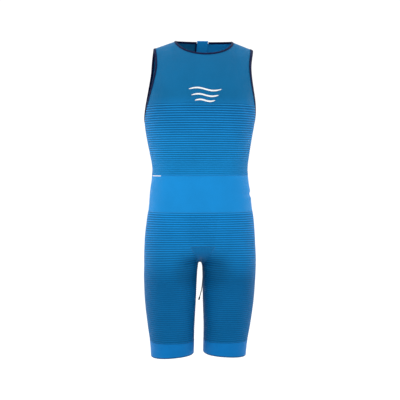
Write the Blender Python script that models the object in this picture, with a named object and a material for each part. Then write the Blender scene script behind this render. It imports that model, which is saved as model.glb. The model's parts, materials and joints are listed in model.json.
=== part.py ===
"""Sleeveless knee-length swimskin, filled out as when it is worn.

Metres, +Z up, front facing -Y. The origin is where the wearer's shoulders hold the suit: on its
middle line, level with the side neck points. Every cloth piece is a thin wall: its outer points lie
on one body form, worked out from the section tables below, and its inner points lie one wall in.
"""

from collections import namedtuple
from math import asin, atan2, cos, pi, sin

import bmesh
import bpy
import numpy as np
from mathutils import Matrix, Vector

# ---------------------------------------------------------------- driving dimensions

WALL = 0.0014            # thickness of plain cloth, and of ribbed cloth in its valleys
RIB_HEIGHT = 0.0009      # a rib's crest above its valleys
SEAM = 0.00034           # clear gap between neighbouring pieces
ROUNDNESS = 2.3          # exponent of the oval sections, 2 being an ellipse

RIB_TOP_Z = -0.191       # where the plain yoke turns into ribs
BAND_TOP_Z = -0.396      # waist band
BAND_BOTTOM_Z = -0.504
GUSSET_TOP_Z = -0.600
CROTCH_Z = -0.655
GUSSET_CORNER_Z = -0.695  # where the gusset ends on the inner leg seam
HEM_BAND_TOP_Z = -0.884
HEM_Z = -0.925

CHEST_RIBS = 32
CHEST_RIB_SPREAD = 0.12   # the top ribs are this much wider than the mean, the bottom ones narrower
ARMHOLE_RIBS = 7          # ribs that end at the armhole before the underarm is reached
BELLY_RIBS = 15           # between waist band and gusset
GUSSET_RIBS = 15          # beside the gusset
THIGH_RIBS = 31           # below the gusset
SIDE_DROP = 0.010         # how far the belly's ribs sink towards the side seams
DROP_END_Z = -0.770       # from here down they are level again

NECK_HALF_WIDTH = 0.087   # of the cloth's edge, inside the binding
NECK_FRONT_Z = -0.048
NECK_BACK_Z = 0.001
TIP_HALF_WIDTH = 0.1435   # shoulder tip
SHOULDER_SLOPE = 0.37     # fall of the shoulder line per metre outwards
NECK_RISE = 0.020         # height to which the shoulder line would climb on the middle line
SHOULDER_Y = 0.015        # shoulder seam, a little behind the side seams

ARMHOLE_MIDDLE_Z = -0.080
ARMHOLE_EXPONENT = 1.6
ARMHOLE_CUT = {-1: 0.66, 1: 0.58}   # front (-1) and back (1) cut away, as a share of their depth
ARMHOLE_CUT_TIP = 0.612

BINDING_WIDTH = 0.0055
BINDING_PROUD = 0.0006    # binding above the cloth, on each face
BINDING_GAP = 0.0004      # clear of the cloth at the corners of its path

ZIP_HALF_SLOT = 0.0042    # half the slot between the back panels
CHAIN_HALF_WIDTH = 0.0037
CHAIN_PROUD = 0.0004
TAPE_THICKNESS = 0.0008
TAPE_REACH = 0.0150       # from the zip's middle line
GUARD_HALF_WIDTH = 0.0165
GUARD_THICKNESS = 0.0009
GUARD_RISE = 0.0095       # above the cloth's edge at the nape
GUARD_FLAP = 0.0135       # its turned-down end, below the cloth's edge
TAPE_OUT = -(WALL + SEAM)                       # outer face of the tapes, from the cloth's outside
GUARD_OUT = TAPE_OUT - TAPE_THICKNESS - SEAM    # the same for the guard behind them

CORD_DIAMETER = 0.003
CORD_POINTS = 78
ROUTE_STEPS = 24
CORD_ROUTE = (            # from the pull tab's socket over the back to the cord's end
    (0.0106, 0.0854, -0.0510),
    (0.0112, 0.0954, -0.0750),
    (0.0125, 0.1043, -0.1050),
    (0.0140, 0.1115, -0.1400),
    (0.0152, 0.1146, -0.1780),
    (0.0162, 0.1150, -0.2300),
    (0.0175, 0.1145, -0.3100),
    (0.0188, 0.1142, -0.4000),
    (0.0200, 0.1150, -0.4800),
    (0.0209, 0.1174, -0.5250),
    (0.0216, 0.1205, -0.5700),
    (0.0221, 0.1216, -0.6100),
    (0.0222, 0.1216, -0.6700),
    (0.0184, 0.1214, -0.7320),
    (0.0152, 0.1213, -0.7570),
    (0.0096, 0.1212, -0.7780),
)
CORD_TIP_RADIUS = 0.0024
CORD_TIP_LENGTH = 0.0100
CORD_TIP_BEVEL = 0.0006

SLIDER_PLACE = 0.40       # between the first two rows below the flap
SLIDER_THICKNESS = 0.0024
SLIDER_OUTLINE = ((-0.0046, 0.0060), (-0.0050, 0.0020), (-0.0036, -0.0060), (0.0036, -0.0060),
                  (0.0050, 0.0020), (0.0046, 0.0060))
EAR_INNER_X = 0.0019
EAR_OUTER_X = 0.0030
EAR_HALF_LENGTH = 0.0012
EAR_SINK = 0.0003         # an ear's foot inside the plate
PIN_UP = -0.0030          # the pin, from the slider's middle
PIN_OUT = 0.0016          # and from its plate
PIN_RADIUS = 0.00045
KNUCKLE_RADIUS = 0.00125
KNUCKLE_HALF_WIDTH = 0.0015
TAB_THICKNESS = 0.0012
TAB_OUTLINE = ((-0.0013, -0.0006), (-0.0013, -0.0036), (-0.0034, -0.0060), (-0.0034, -0.0220),
               (-0.0022, -0.0240), (0.0022, -0.0240), (0.0034, -0.0220), (0.0034, -0.0060),
               (0.0013, -0.0036), (0.0013, -0.0006))
TAB_LEAN = 0.08           # radians, towards the back
TAB_END = -0.0290
SOCKET_TOP = -0.0232
SOCKET_RADIUS = 0.0021    # holds the cord
ROD_SIDES = 12

SIDE_COLUMNS = 6          # grid columns on half a front or half a back
NECK_COLUMNS = 4          # of these, the ones that end at the neckline
LEG_COLUMNS = 5           # on half a leg, front or back
YOKE_ROWS = 7
BAND_ROWS = 4
HEM_ROWS = 3
GUSSET_COLUMNS = 4
GUARD_FOLD_STEPS = 6
COARSE = 8                # outer rows to one inner row, where nothing is fitted to the edge
FINE = 2                  # the same beside the armholes
WELD = 0.000005           # points nearer than this are one

TorsoSection = namedtuple("TorsoSection", "z centre_x half_width front_depth back_depth")
TORSO = [
    TorsoSection(0.040, 0.012, 0.172, 0.096, 0.094),
    TorsoSection(-0.020, 0.011, 0.170, 0.102, 0.100),
    TorsoSection(-0.070, 0.007, 0.168, 0.108, 0.106),
    TorsoSection(-0.130, 0.003, 0.167, 0.113, 0.111),
    TorsoSection(-0.190, 0.001, 0.166, 0.115, 0.111),
    TorsoSection(-0.240, -0.001, 0.163, 0.114, 0.107),
    TorsoSection(-0.285, -0.002, 0.156, 0.110, 0.101),
    TorsoSection(-0.335, -0.001, 0.147, 0.104, 0.093),
    TorsoSection(-0.376, 0.000, 0.141, 0.101, 0.089),
    TorsoSection(-0.405, 0.000, 0.143, 0.100, 0.089),
    TorsoSection(-0.447, 0.000, 0.1485, 0.100, 0.094),
    TorsoSection(-0.492, 0.001, 0.153, 0.101, 0.103),
    TorsoSection(-0.527, 0.001, 0.158, 0.102, 0.111),
    TorsoSection(-0.581, 0.000, 0.163, 0.0965, 0.1155),
    TorsoSection(-0.643, 0.000, 0.165, 0.0985, 0.1175),
    TorsoSection(-0.720, -0.001, 0.165, 0.098, 0.112),
]

LegSection = namedtuple("LegSection", "z centre_x offset half_width front_depth back_depth")
LEG = [
    LegSection(-0.600, 0.000, 0.0865, 0.0790, 0.122, 0.146),
    LegSection(-0.636, 0.000, 0.0865, 0.0788, 0.1005, 0.1195),
    LegSection(-0.660, 0.000, 0.0865, 0.0785, 0.0915, 0.1045),
    LegSection(-0.700, -0.001, 0.0870, 0.0775, 0.0865, 0.0945),
    LegSection(-0.768, -0.002, 0.0860, 0.0745, 0.080, 0.083),
    LegSection(-0.839, -0.003, 0.0830, 0.0685, 0.070, 0.073),
    LegSection(-0.892, -0.004, 0.0790, 0.0640, 0.064, 0.066),
    LegSection(-0.940, -0.005, 0.0770, 0.0620, 0.062, 0.064),
]
SPLIT_END_Z = -0.672      # from the gusset's top to here the trunk's section turns into two legs
CROWN_FULLNESS = 0.20     # how far the gusset's middle bows out from a line level with its edges
CROWN_RISE = 2.2          # how late the middle rises above them; 2.4 makes it level in the crotch
CROWN_SQUARENESS = 4.0    # exponent of the arch across the crotch; 2 makes a rounded one
GUSSET_SHARE = 0.86       # where the gusset's top corners lie, 0 at the side seam, 1 in the middle

FRONT, BACK = -1, 1
LEFT, RIGHT = -1, 1       # as seen in the front view
SIDE_NAMES = {LEFT: "left", RIGHT: "right"}

COLOURS = {
    "yoke_blue": (0.015, 0.155, 0.380, 0.75),
    "rib_blue": (0.014, 0.175, 0.400, 0.80),
    "band_blue": (0.016, 0.255, 0.640, 0.70),
    "navy": (0.008, 0.018, 0.080, 0.70),
    "zip_black": (0.010, 0.012, 0.020, 0.50),
    "cord_grey": (0.050, 0.048, 0.050, 0.80),
}


# ---------------------------------------------------------------- numbers and curves

def mix(a, b, share):
    return a + (b - a) * share


def ease(share):
    share = min(max(share, 0.0), 1.0)
    return share * share * (3.0 - 2.0 * share)


def read_table(rows, z, column):
    """A named column at height z, on a smooth curve through the table's rows."""
    values = [getattr(row, column) for row in rows]
    heights = [row.z for row in rows]
    below = next((i for i, height in enumerate(heights) if height <= z), len(rows) - 1)
    below = max(below, 1)

    def slope(i):
        first, last = max(i - 1, 0), min(i + 1, len(rows) - 1)
        return (values[last] - values[first]) / (heights[last] - heights[first])

    span = heights[below] - heights[below - 1]
    s = (z - heights[below - 1]) / span
    return ((2 * s**3 - 3 * s**2 + 1) * values[below - 1]
            + (s**3 - 2 * s**2 + s) * span * slope(below - 1)
            + (3 * s**2 - 2 * s**3) * values[below]
            + (s**3 - s**2) * span * slope(below))


def depth_column(face):
    return "front_depth" if face == FRONT else "back_depth"


def on_oval(angle, half_width, depth):
    """(x, depth) on a rounded oval, at an angle from the middle of its front or back."""
    s, c = sin(angle), cos(angle)
    reach = (abs(s)**ROUNDNESS + abs(c)**ROUNDNESS) ** (-1.0 / ROUNDNESS)
    return half_width * s * reach, depth * c * reach


def other_share(share):
    """On an oval, the share of depth that goes with a share of half width, and back."""
    return max(1.0 - abs(share)**ROUNDNESS, 0.0) ** (1.0 / ROUNDNESS)


# ---------------------------------------------------------------- the upper body's form

def chest_rib_heights():
    """Heights of valley, crest, valley ... from the yoke down to the waist band."""
    steps = 2 * CHEST_RIBS
    height = RIB_TOP_Z - BAND_TOP_Z - SEAM / 2
    shares = [i / steps for i in range(steps + 1)]
    spread = [s + CHEST_RIB_SPREAD * s * (1.0 - s) for s in shares]
    return [RIB_TOP_Z - height * s for s in spread]


UNDERARM_Z = chest_rib_heights()[2 * ARMHOLE_RIBS]


def ridge_height(x):
    """Height of the shoulder line, carried on over the neck, at a distance from the middle."""
    if x >= NECK_HALF_WIDTH:
        return -SHOULDER_SLOPE * (x - NECK_HALF_WIDTH)
    return NECK_RISE * (1.0 - (x / NECK_HALF_WIDTH)**2)


def armhole_share(face, z):
    """Depth of the armhole's edge at height z, as a share of the section's depth."""
    cut = ARMHOLE_CUT[face]
    if z >= ARMHOLE_MIDDLE_Z:
        up = (z - ARMHOLE_MIDDLE_Z) / (ridge_height(TIP_HALF_WIDTH) - ARMHOLE_MIDDLE_Z)
        return mix(cut, ARMHOLE_CUT_TIP, up * up)
    down = min((ARMHOLE_MIDDLE_Z - z) / (ARMHOLE_MIDDLE_Z - UNDERARM_Z), 1.0)
    return cut * (1.0 - down**ARMHOLE_EXPONENT) ** (1.0 / ARMHOLE_EXPONENT)


def inner_edge(face):
    """Distance from the middle line at which half a panel starts: the back ones leave a slot."""
    return ZIP_HALF_SLOT if face == BACK else 0.0


def chest_reach(face, reach, z):
    """(distance from the middle line, depth) at and below the top ribs; reach is 0 to 1."""
    share = armhole_share(face, z)
    half_width = read_table(TORSO, z, "half_width")
    edge_x = half_width * other_share(share)
    x, depth = on_oval(reach * atan2(other_share(share), share), half_width,
                       read_table(TORSO, z, depth_column(face)))
    return mix(inner_edge(face), edge_x, x / edge_x), depth


def chest_point(face, side, reach, z):
    x, depth = chest_reach(face, reach, z)
    return np.array([side * x + read_table(TORSO, z, "centre_x"), face * depth, z])


def top_line(face, reach):
    """(x, z) of the upper edge: the neckline, then the shoulder seam; reach is 0 to 1."""
    neck_share = NECK_COLUMNS / SIDE_COLUMNS
    if reach < neck_share:
        angle = reach / neck_share * pi / 2
        x = mix(inner_edge(face), NECK_HALF_WIDTH, sin(angle))
        return x, (NECK_FRONT_Z if face == FRONT else NECK_BACK_Z) * cos(angle)
    x = mix(NECK_HALF_WIDTH, TIP_HALF_WIDTH, (reach - neck_share) / (1.0 - neck_share))
    return x, ridge_height(x)


def yoke_point(face, side, reach, rise):
    """Point above the top ribs; rise runs from 0 there to 1 at neckline and shoulder seam."""
    start = inner_edge(face)
    low_share = ((chest_reach(face, reach, RIB_TOP_Z)[0] - start)
                 / (chest_reach(face, 1.0, RIB_TOP_Z)[0] - start))
    high_x, high_z = top_line(face, reach)
    high_share = (high_x - start) / (TIP_HALF_WIDTH - start)
    edge_z = mix(RIB_TOP_Z, ridge_height(TIP_HALF_WIDTH), sin(rise * pi / 2))
    edge_x = read_table(TORSO, edge_z, "half_width") * other_share(armhole_share(face, edge_z))
    edge_x = mix(edge_x, TIP_HALF_WIDTH, rise**4)
    x = mix(start, edge_x, mix(low_share, high_share, ease(rise)))
    climb = min((high_z - RIB_TOP_Z) / (ridge_height(high_x) - RIB_TOP_Z), 1.0)
    turn = rise * asin(climb)
    z = mix(RIB_TOP_Z, ridge_height(x), sin(turn))
    depth = read_table(TORSO, z, depth_column(face))
    depth *= other_share(x / read_table(TORSO, z, "half_width"))
    return np.array([side * x + read_table(TORSO, z, "centre_x"),
                     mix(SHOULDER_Y, face * depth, cos(turn)), z])


# ---------------------------------------------------------------- the form of belly and legs

def trunk_point(angle, z):
    """Point of a trunk section; angle 0 is the middle front, a quarter turn the +X side."""
    face = FRONT if cos(angle) >= 0.0 else BACK
    x, depth = on_oval(angle, read_table(TORSO, z, "half_width"),
                       read_table(TORSO, z, depth_column(face)))
    return np.array([x + read_table(TORSO, z, "centre_x"), -depth, z])


def leg_point(side, angle, z):
    """Point of a leg section; angle 0 is its middle front, a quarter turn its outer side."""
    face = FRONT if cos(angle) >= 0.0 else BACK
    x, depth = on_oval(angle, read_table(LEG, z, "half_width"),
                       read_table(LEG, z, depth_column(face)))
    x = side * (x + read_table(LEG, z, "offset")) + read_table(LEG, z, "centre_x")
    return np.array([x, -depth, z])


def lower_point(face, side, inward, z):
    """Point below the waist band; inward runs from 0 at the side seam to 1 in the middle."""
    trunk_angle = (1.0 - inward) * pi / 2
    leg_angle = (0.5 - inward) * pi
    if face == BACK:
        trunk_angle, leg_angle = pi - trunk_angle, pi - leg_angle
    split = ease((GUSSET_TOP_Z - z) / (GUSSET_TOP_Z - SPLIT_END_Z))
    return mix(trunk_point(side * trunk_angle, z), leg_point(side, leg_angle, z), split)


def shorts_share(column, z):
    """How far inward a grid column lies: even at the band, then drawn in beside the gusset."""
    if column > LEG_COLUMNS:
        return 1.0
    if z > GUSSET_TOP_Z:
        edge = mix(LEG_COLUMNS / (LEG_COLUMNS + 1), GUSSET_SHARE,
                   ease((BAND_BOTTOM_Z - z) / (BAND_BOTTOM_Z - GUSSET_TOP_Z)))
    else:
        down = (GUSSET_TOP_Z - z) / (GUSSET_TOP_Z - GUSSET_CORNER_Z)
        edge = mix(GUSSET_SHARE, 1.0, min(down, 1.0))
    return edge * column / LEG_COLUMNS


def shorts_point(face, side, column, z):
    """Grid point of the shorts; the rows sink a little towards the side seams."""
    inward = shorts_share(column, z)
    along = (BAND_BOTTOM_Z - z) / (BAND_BOTTOM_Z - DROP_END_Z)
    drop = SIDE_DROP * sin(pi * along) if along < 1.0 else 0.0
    return lower_point(face, side, inward, z - drop * (1.0 - inward)**2)


# ---------------------------------------------------------------- grids of points

def grid_of(point_at, rows, columns):
    return np.array([[point_at(row, column) for column in columns] for row in rows])


def normals_of(point_at, rows, columns, flip):
    """Unit normals of point_at(row, column), by small steps that stay inside its range."""
    low_row, high_row = sorted((rows[0], rows[-1]))
    low_column, high_column = sorted((columns[0], columns[-1]))
    row_step = (high_row - low_row) * 1e-4
    column_step = (high_column - low_column) * 1e-4
    result = np.zeros((len(rows), len(columns), 3))
    for i, row in enumerate(rows):
        for j, column in enumerate(columns):
            up = (point_at(min(row + row_step, high_row), column)
                  - point_at(max(row - row_step, low_row), column))
            across = (point_at(row, min(column + column_step, high_column))
                      - point_at(row, max(column - column_step, low_column)))
            normal = np.cross(across, up) * flip
            result[i, j] = normal / np.linalg.norm(normal)
    return result


def unit(vectors):
    return vectors / np.linalg.norm(vectors, axis=-1, keepdims=True)


def pull_in(points, row=None, column=None, amount=SEAM / 2):
    """Move one border row or column of a grid towards its neighbour."""
    if row is not None:
        points[row] += unit(points[row + 1 if row == 0 else row - 1] - points[row]) * amount
    else:
        points[:, column] += amount * unit(
            points[:, column + 1 if column == 0 else column - 1] - points[:, column])


Sheet = namedtuple("Sheet", "points normals lift inner_rows")


def add_wall(bm, sheet, wall=WALL, wrap=False, left=True, right=True, top=None, bottom=None):
    """Add a wall over a sheet: outer faces, fewer inner rows, and the rims that are asked for.

    top and bottom name the cells that have a rim there; None gives all of them.
    """
    outer = sheet.points + sheet.normals * sheet.lift[:, None, None]
    inner = sheet.points - sheet.normals * wall
    rows, columns = outer.shape[:2]
    out = [[bm.verts.new(outer[r, c]) for c in range(columns)] for r in range(rows)]
    into = {r: [bm.verts.new(inner[r, c]) for c in range(columns)] for r in sheet.inner_rows}
    cells = range(columns if wrap else columns - 1)
    for r in range(rows - 1):
        for c in cells:    # both sides of the wall are cut along the same diagonals
            d = (c + 1) % columns
            bm.faces.new((out[r][c], out[r][d], out[r + 1][d]))
            bm.faces.new((out[r][c], out[r + 1][d], out[r + 1][c]))
    for above, below in zip(sheet.inner_rows, sheet.inner_rows[1:]):
        for c in cells:
            d = (c + 1) % columns
            bm.faces.new((into[above][d], into[above][c], into[below][d]))
            bm.faces.new((into[below][d], into[above][c], into[below][c]))
        for c, wanted in ((0, left), (columns - 1, right)):
            if wanted and not wrap:
                rim = [out[r][c] for r in range(above, below + 1)]
                bm.faces.new(rim + [into[below][c], into[above][c]])
    for r, wanted in ((0, top), (rows - 1, bottom)):
        for c in (cells if wanted is None else wanted):
            d = (c + 1) % columns
            bm.faces.new((out[r][d], out[r][c], into[r][c], into[r][d]))


def every_row(points):
    return list(range(len(points)))


def rib_lift(count):
    return np.array([RIB_HEIGHT if i % 2 else 0.0 for i in range(count)])


# ---------------------------------------------------------------- objects

def material(name):
    found = bpy.data.materials.get(name)
    if found:
        return found
    red, green, blue, roughness = COLOURS[name]
    made = bpy.data.materials.new(name)
    made.use_nodes = True
    shader = made.node_tree.nodes["Principled BSDF"]
    shader.inputs["Base Color"].default_value = (red, green, blue, 1.0)
    shader.inputs["Roughness"].default_value = roughness
    shader.inputs["Metallic"].default_value = 0.0
    return made


def add_object(name, bm, colour, location=(0.0, 0.0, 0.0)):
    """Turn a bmesh into a named object whose points are given in world coordinates."""
    bmesh.ops.remove_doubles(bm, verts=bm.verts, dist=WELD)
    bmesh.ops.recalc_face_normals(bm, faces=bm.faces)
    bmesh.ops.translate(bm, verts=bm.verts, vec=-Vector(location))
    mesh = bpy.data.meshes.new(name)
    bm.to_mesh(mesh)
    bm.free()
    made = bpy.data.objects.new(name, mesh)
    made.location = location
    mesh.materials.append(material(colour))
    bpy.context.scene.collection.objects.link(made)
    return made


def add_sheet_object(name, sheet, colour, **options):
    bm = bmesh.new()
    add_wall(bm, sheet, **options)
    return add_object(name, bm, colour)


# ---------------------------------------------------------------- upper body pieces

def half_panel_sheet(face, side):
    """Yoke and ribbed chest as one sheet, top edge first, from the middle line to the side."""
    reaches = [i / SIDE_COLUMNS for i in range(SIDE_COLUMNS + 1)]
    rises = [1.0 - i / YOKE_ROWS for i in range(YOKE_ROWS + 1)]
    heights = chest_rib_heights()

    def yoke(rise, reach):
        return yoke_point(face, side, reach, rise)

    def chest(z, reach):
        return chest_point(face, side, reach, z)

    points = np.concatenate([grid_of(yoke, rises[:-1], reaches), grid_of(chest, heights, reaches)])
    normals = np.concatenate([normals_of(yoke, rises, reaches, -face * side),
                              normals_of(chest, heights, reaches, -face * side)[1:]])
    normals[0, NECK_COLUMNS] = normals[0, NECK_COLUMNS + 1]    # the edge turns a corner there
    lift = np.concatenate([np.zeros(YOKE_ROWS), rib_lift(len(heights))])
    underarm_row = YOKE_ROWS + 2 * ARMHOLE_RIBS
    inner_rows = (list(range(YOKE_ROWS)) + list(range(YOKE_ROWS, underarm_row, FINE))
                  + list(range(underarm_row, len(points) - 1, COARSE)) + [len(points) - 1])
    return Sheet(points, normals, lift, inner_rows)


def joined_halves(left, right):
    """Two half sheets as one, from the left side over the shared middle line to the right."""
    points = np.concatenate([left.points[:, :0:-1], right.points], axis=1)
    normals = np.concatenate([left.normals[:, :0:-1], right.normals], axis=1)
    return Sheet(points, normals, right.lift, right.inner_rows)


def share_seam_normals(front, back):
    """Give both panels the same normals along the shoulder seam and the side seam."""
    side_rows = slice(YOKE_ROWS + 2 * ARMHOLE_RIBS, None)
    for part in ((0, slice(NECK_COLUMNS, None)), (side_rows, -1)):
        shared = unit(front.normals[part] + back.normals[part])
        front.normals[part] = shared
        back.normals[part] = shared


def seamed_half(sheet):
    """Half a panel with its shoulder seam and side seam drawn in by half a gap."""
    points = sheet.points.copy()
    points[0, NECK_COLUMNS:] += SEAM / 2 * unit(points[1, NECK_COLUMNS:] - points[0, NECK_COLUMNS:])
    side_rows = slice(YOKE_ROWS + 2 * ARMHOLE_RIBS, None)
    points[side_rows, -1] += SEAM / 2 * unit(points[side_rows, -2] - points[side_rows, -1])
    return sheet._replace(points=points)


def make_upper_panels():
    halves = {(face, side): half_panel_sheet(face, side)
              for face in (FRONT, BACK) for side in (LEFT, RIGHT)}
    for side in (LEFT, RIGHT):
        share_seam_normals(halves[FRONT, side], halves[BACK, side])
    front = joined_halves(seamed_half(halves[FRONT, LEFT]), seamed_half(halves[FRONT, RIGHT]))
    add_sheet_object("front_panel", front, "rib_blue")
    for side in (LEFT, RIGHT):
        add_sheet_object("back_panel_" + SIDE_NAMES[side], seamed_half(halves[BACK, side]),
                         "rib_blue")
    return halves


def make_waist_band():
    angles = [2 * pi * i / (4 * SIDE_COLUMNS) for i in range(4 * SIDE_COLUMNS)]
    heights = list(np.linspace(BAND_TOP_Z - SEAM / 2, BAND_BOTTOM_Z + SEAM / 2, BAND_ROWS))

    def point(z, angle):
        return trunk_point(angle, z)

    points = grid_of(point, heights, angles)
    sheet = Sheet(points, normals_of(point, heights, angles, 1), np.zeros(BAND_ROWS),
                  every_row(points))
    add_sheet_object("waist_band", sheet, "band_blue", wrap=True)


# ---------------------------------------------------------------- lower body pieces

def shorts_heights():
    """Heights of valley, crest, valley ... from the waist band down to the hem bands."""
    stretches = ((BAND_BOTTOM_Z - SEAM / 2, GUSSET_TOP_Z, BELLY_RIBS),
                 (GUSSET_TOP_Z, GUSSET_CORNER_Z, GUSSET_RIBS),
                 (GUSSET_CORNER_Z, HEM_BAND_TOP_Z + SEAM / 2, THIGH_RIBS))
    heights = [stretches[0][0]]
    for start, end, ribs in stretches:
        heights += [mix(start, end, (i + 1) / (2 * ribs)) for i in range(2 * ribs)]
    return heights


GUSSET_ROW = 2 * BELLY_RIBS
CORNER_ROW = GUSSET_ROW + 2 * GUSSET_RIBS


def half_shorts(face, side):
    """Half a front or back of the shorts from the side seam inward, as two sheets that share a
    row: the belly down to the gusset's top, and the leg beside and below the gusset."""
    heights = shorts_heights()
    columns = list(range(LEG_COLUMNS + 2))

    def point(z, column):
        """The grid's points, and between them the form itself, which their normals need."""
        if column > LEG_COLUMNS:
            edge = shorts_share(LEG_COLUMNS, z)
            return lower_point(face, side, mix(edge, 1.0, column - LEG_COLUMNS), z)
        return shorts_point(face, side, column, z)

    belly_z, leg_z = heights[:GUSSET_ROW + 1], heights[GUSSET_ROW:]
    flip = face * side
    belly_rows = list(range(0, GUSSET_ROW, COARSE)) + [GUSSET_ROW]
    belly = Sheet(grid_of(point, belly_z, columns), normals_of(point, belly_z, columns, flip),
                  rib_lift(len(belly_z)), belly_rows)
    leg_rows = (list(range(CORNER_ROW - GUSSET_ROW))
                + list(range(CORNER_ROW - GUSSET_ROW, len(leg_z) - 1, COARSE)) + [len(leg_z) - 1])
    leg = Sheet(grid_of(point, leg_z, columns[:-1]), normals_of(point, leg_z, columns[:-1], flip),
                rib_lift(len(leg_z)), leg_rows)
    leg.normals[0] = belly.normals[-1, :-1]
    for row in range(1, CORNER_ROW - GUSSET_ROW, 2):    # straight from valley to valley
        leg.points[row, -1] = (leg.points[row - 1, -1] + leg.points[row + 1, -1]) / 2
        leg.normals[row, -1] = unit(leg.normals[row - 1, -1] + leg.normals[row + 1, -1])
    return belly, leg


def seamed_shorts(belly, leg, middle_seam):
    """The same two sheets with their seam edges drawn in by half a gap."""
    belly_points, leg_points = belly.points.copy(), leg.points.copy()
    pull_in(belly_points, column=0)
    pull_in(leg_points, column=0)
    pull_in(leg_points, column=-1)
    upward = unit(belly.points[-2] - belly.points[-1])[-2:] * SEAM / 2
    leg_points[0, -1] += upward[0]
    belly_points[-1, -2] = leg_points[0, -1]
    belly_points[-1, -1] += upward[1]
    if middle_seam:
        pull_in(belly_points, column=-1)
    return belly._replace(points=belly_points), leg._replace(points=leg_points)


def add_half_shorts(bm, belly, leg, middle_seam):
    belly, leg = seamed_shorts(belly, leg, middle_seam)
    add_wall(bm, belly, right=middle_seam, bottom=(LEG_COLUMNS,))
    add_wall(bm, leg, top=())


def make_shorts():
    halves = {(face, side): half_shorts(face, side)
              for face in (FRONT, BACK) for side in (LEFT, RIGHT)}
    bm = bmesh.new()
    for side in (LEFT, RIGHT):
        add_half_shorts(bm, *halves[FRONT, side], middle_seam=False)
    add_object("shorts_front", bm, "rib_blue")
    for side in (LEFT, RIGHT):
        bm = bmesh.new()
        add_half_shorts(bm, *halves[BACK, side], middle_seam=True)
        add_object("shorts_back_" + SIDE_NAMES[side], bm, "rib_blue")
    return halves


def make_gusset(halves):
    """A saddle between the legs: its long edges are the shorts' own points, valley by valley."""
    rows, normal_edges = [], []
    steps = GUSSET_RIBS
    for face in (FRONT, BACK):
        top = halves[face, RIGHT][0].points[-1, -1]
        count = steps + 1 if face == FRONT else steps
        for k in range(count):
            ends = [halves[face, side][1].points[2 * k, -1] for side in (LEFT, RIGHT)]
            down = k / steps
            level_y = ends[0][1] * top[1] / halves[face, LEFT][1].points[0, -1][1]
            crown = (ends[0] + ends[1]) / 2
            crown[1] = mix(level_y, top[1] * cos(down * pi / 2), CROWN_FULLNESS)
            crown[2] += (CROTCH_Z - GUSSET_CORNER_Z) * down**CROWN_RISE
            shares = [-1.0 + 2.0 * i / GUSSET_COLUMNS for i in range(GUSSET_COLUMNS + 1)]
            bulge = crown - (ends[0] + ends[1]) / 2
            power = mix(2.0, CROWN_SQUARENESS, down)
            rows.append([mix(ends[0], ends[1], (u + 1) / 2) + bulge * (1 - abs(u)**power)
                         for u in shares])
            normal_edges.append([halves[face, side][1].normals[2 * k, -1]
                                 for side in (LEFT, RIGHT)])
    order = list(range(steps + 1)) + list(range(2 * steps, steps, -1))
    points = np.array([rows[i] for i in order])
    normals = grid_normals(points)
    for row, i in enumerate(order):
        normals[row, 0], normals[row, -1] = normal_edges[i]
    seamed = points.copy()
    for column in (0, -1):
        pull_in(seamed, column=column)
    for row in (0, -1):
        pull_in(seamed, row=row)
    sheet = Sheet(seamed, normals, np.zeros(len(points)), every_row(points))
    add_sheet_object("crotch_gusset", sheet, "rib_blue")


def grid_normals(points):
    """Normals of a grid from its own neighbours; rows run down the front and up the back."""
    rows, columns = points.shape[:2]
    down = points[[*range(1, rows), rows - 1]] - points[[0, *range(rows - 1)]]
    across = (points[:, [*range(1, columns), columns - 1]] - points[:, [0, *range(columns - 1)]])
    return unit(np.cross(down, across))


def make_hem_bands():
    angles = [pi / 2 + pi * i / LEG_COLUMNS for i in range(2 * LEG_COLUMNS)]
    heights = list(np.linspace(HEM_BAND_TOP_Z - SEAM / 2, HEM_Z, HEM_ROWS))
    for side in (LEFT, RIGHT):

        def point(z, angle, side=side):
            return leg_point(side, angle, z)

        points = grid_of(point, heights, angles)
        sheet = Sheet(points, normals_of(point, heights, angles, side), np.zeros(HEM_ROWS),
                      every_row(points))
        add_sheet_object("hem_band_" + SIDE_NAMES[side], sheet, "band_blue", wrap=True)


# ---------------------------------------------------------------- bindings

def binding_sheet(path, normals, turning, closed):
    """A strip beyond a cloth edge; turning is 1 where the edge runs with the cloth on its right
    as seen from outside, else -1."""
    if closed:
        along = np.roll(path, -1, axis=0) - np.roll(path, 1, axis=0)
    else:
        along = path[[*range(1, len(path)), len(path) - 1]] - path[[0, *range(len(path) - 1)]]
    outward = unit(np.cross(normals, along)) * turning
    points = np.array([path + outward * BINDING_GAP,
                       path + outward * (BINDING_GAP + BINDING_WIDTH)])
    return Sheet(points, np.array([normals, normals]), np.full(2, BINDING_PROUD), [0, 1])


def make_neck_binding(halves):
    """From one side of the zip guard, over the shoulders and round the front, to its other side."""
    path, normals = [], []
    for face, side, columns in ((BACK, LEFT, range(1, NECK_COLUMNS)),
                                (FRONT, LEFT, range(NECK_COLUMNS, 0, -1)),
                                (FRONT, RIGHT, range(0, NECK_COLUMNS + 1)),
                                (BACK, RIGHT, range(NECK_COLUMNS - 1, 0, -1))):
        sheet = halves[face, side]
        path += [sheet.points[0, c] for c in columns]
        normals += [sheet.normals[0, c] for c in columns]
    for side, place in ((LEFT, 0), (RIGHT, len(path) + 1)):
        sheet = halves[BACK, side]
        near, far = sheet.points[0, 0], sheet.points[0, 1]
        middle_x = read_table(TORSO, near[2], "centre_x")
        share = ((GUARD_HALF_WIDTH + 0.001 - abs(near[0] - middle_x)) / abs(far[0] - near[0]))
        path.insert(place, mix(near, far, share))
        normals.insert(place, mix(sheet.normals[0, 0], sheet.normals[0, 1], share))
    sheet = binding_sheet(np.array(path), unit(np.array(normals)), 1, closed=False)
    add_sheet_object("neck_binding", sheet, "navy", wall=WALL + BINDING_PROUD)


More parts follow.
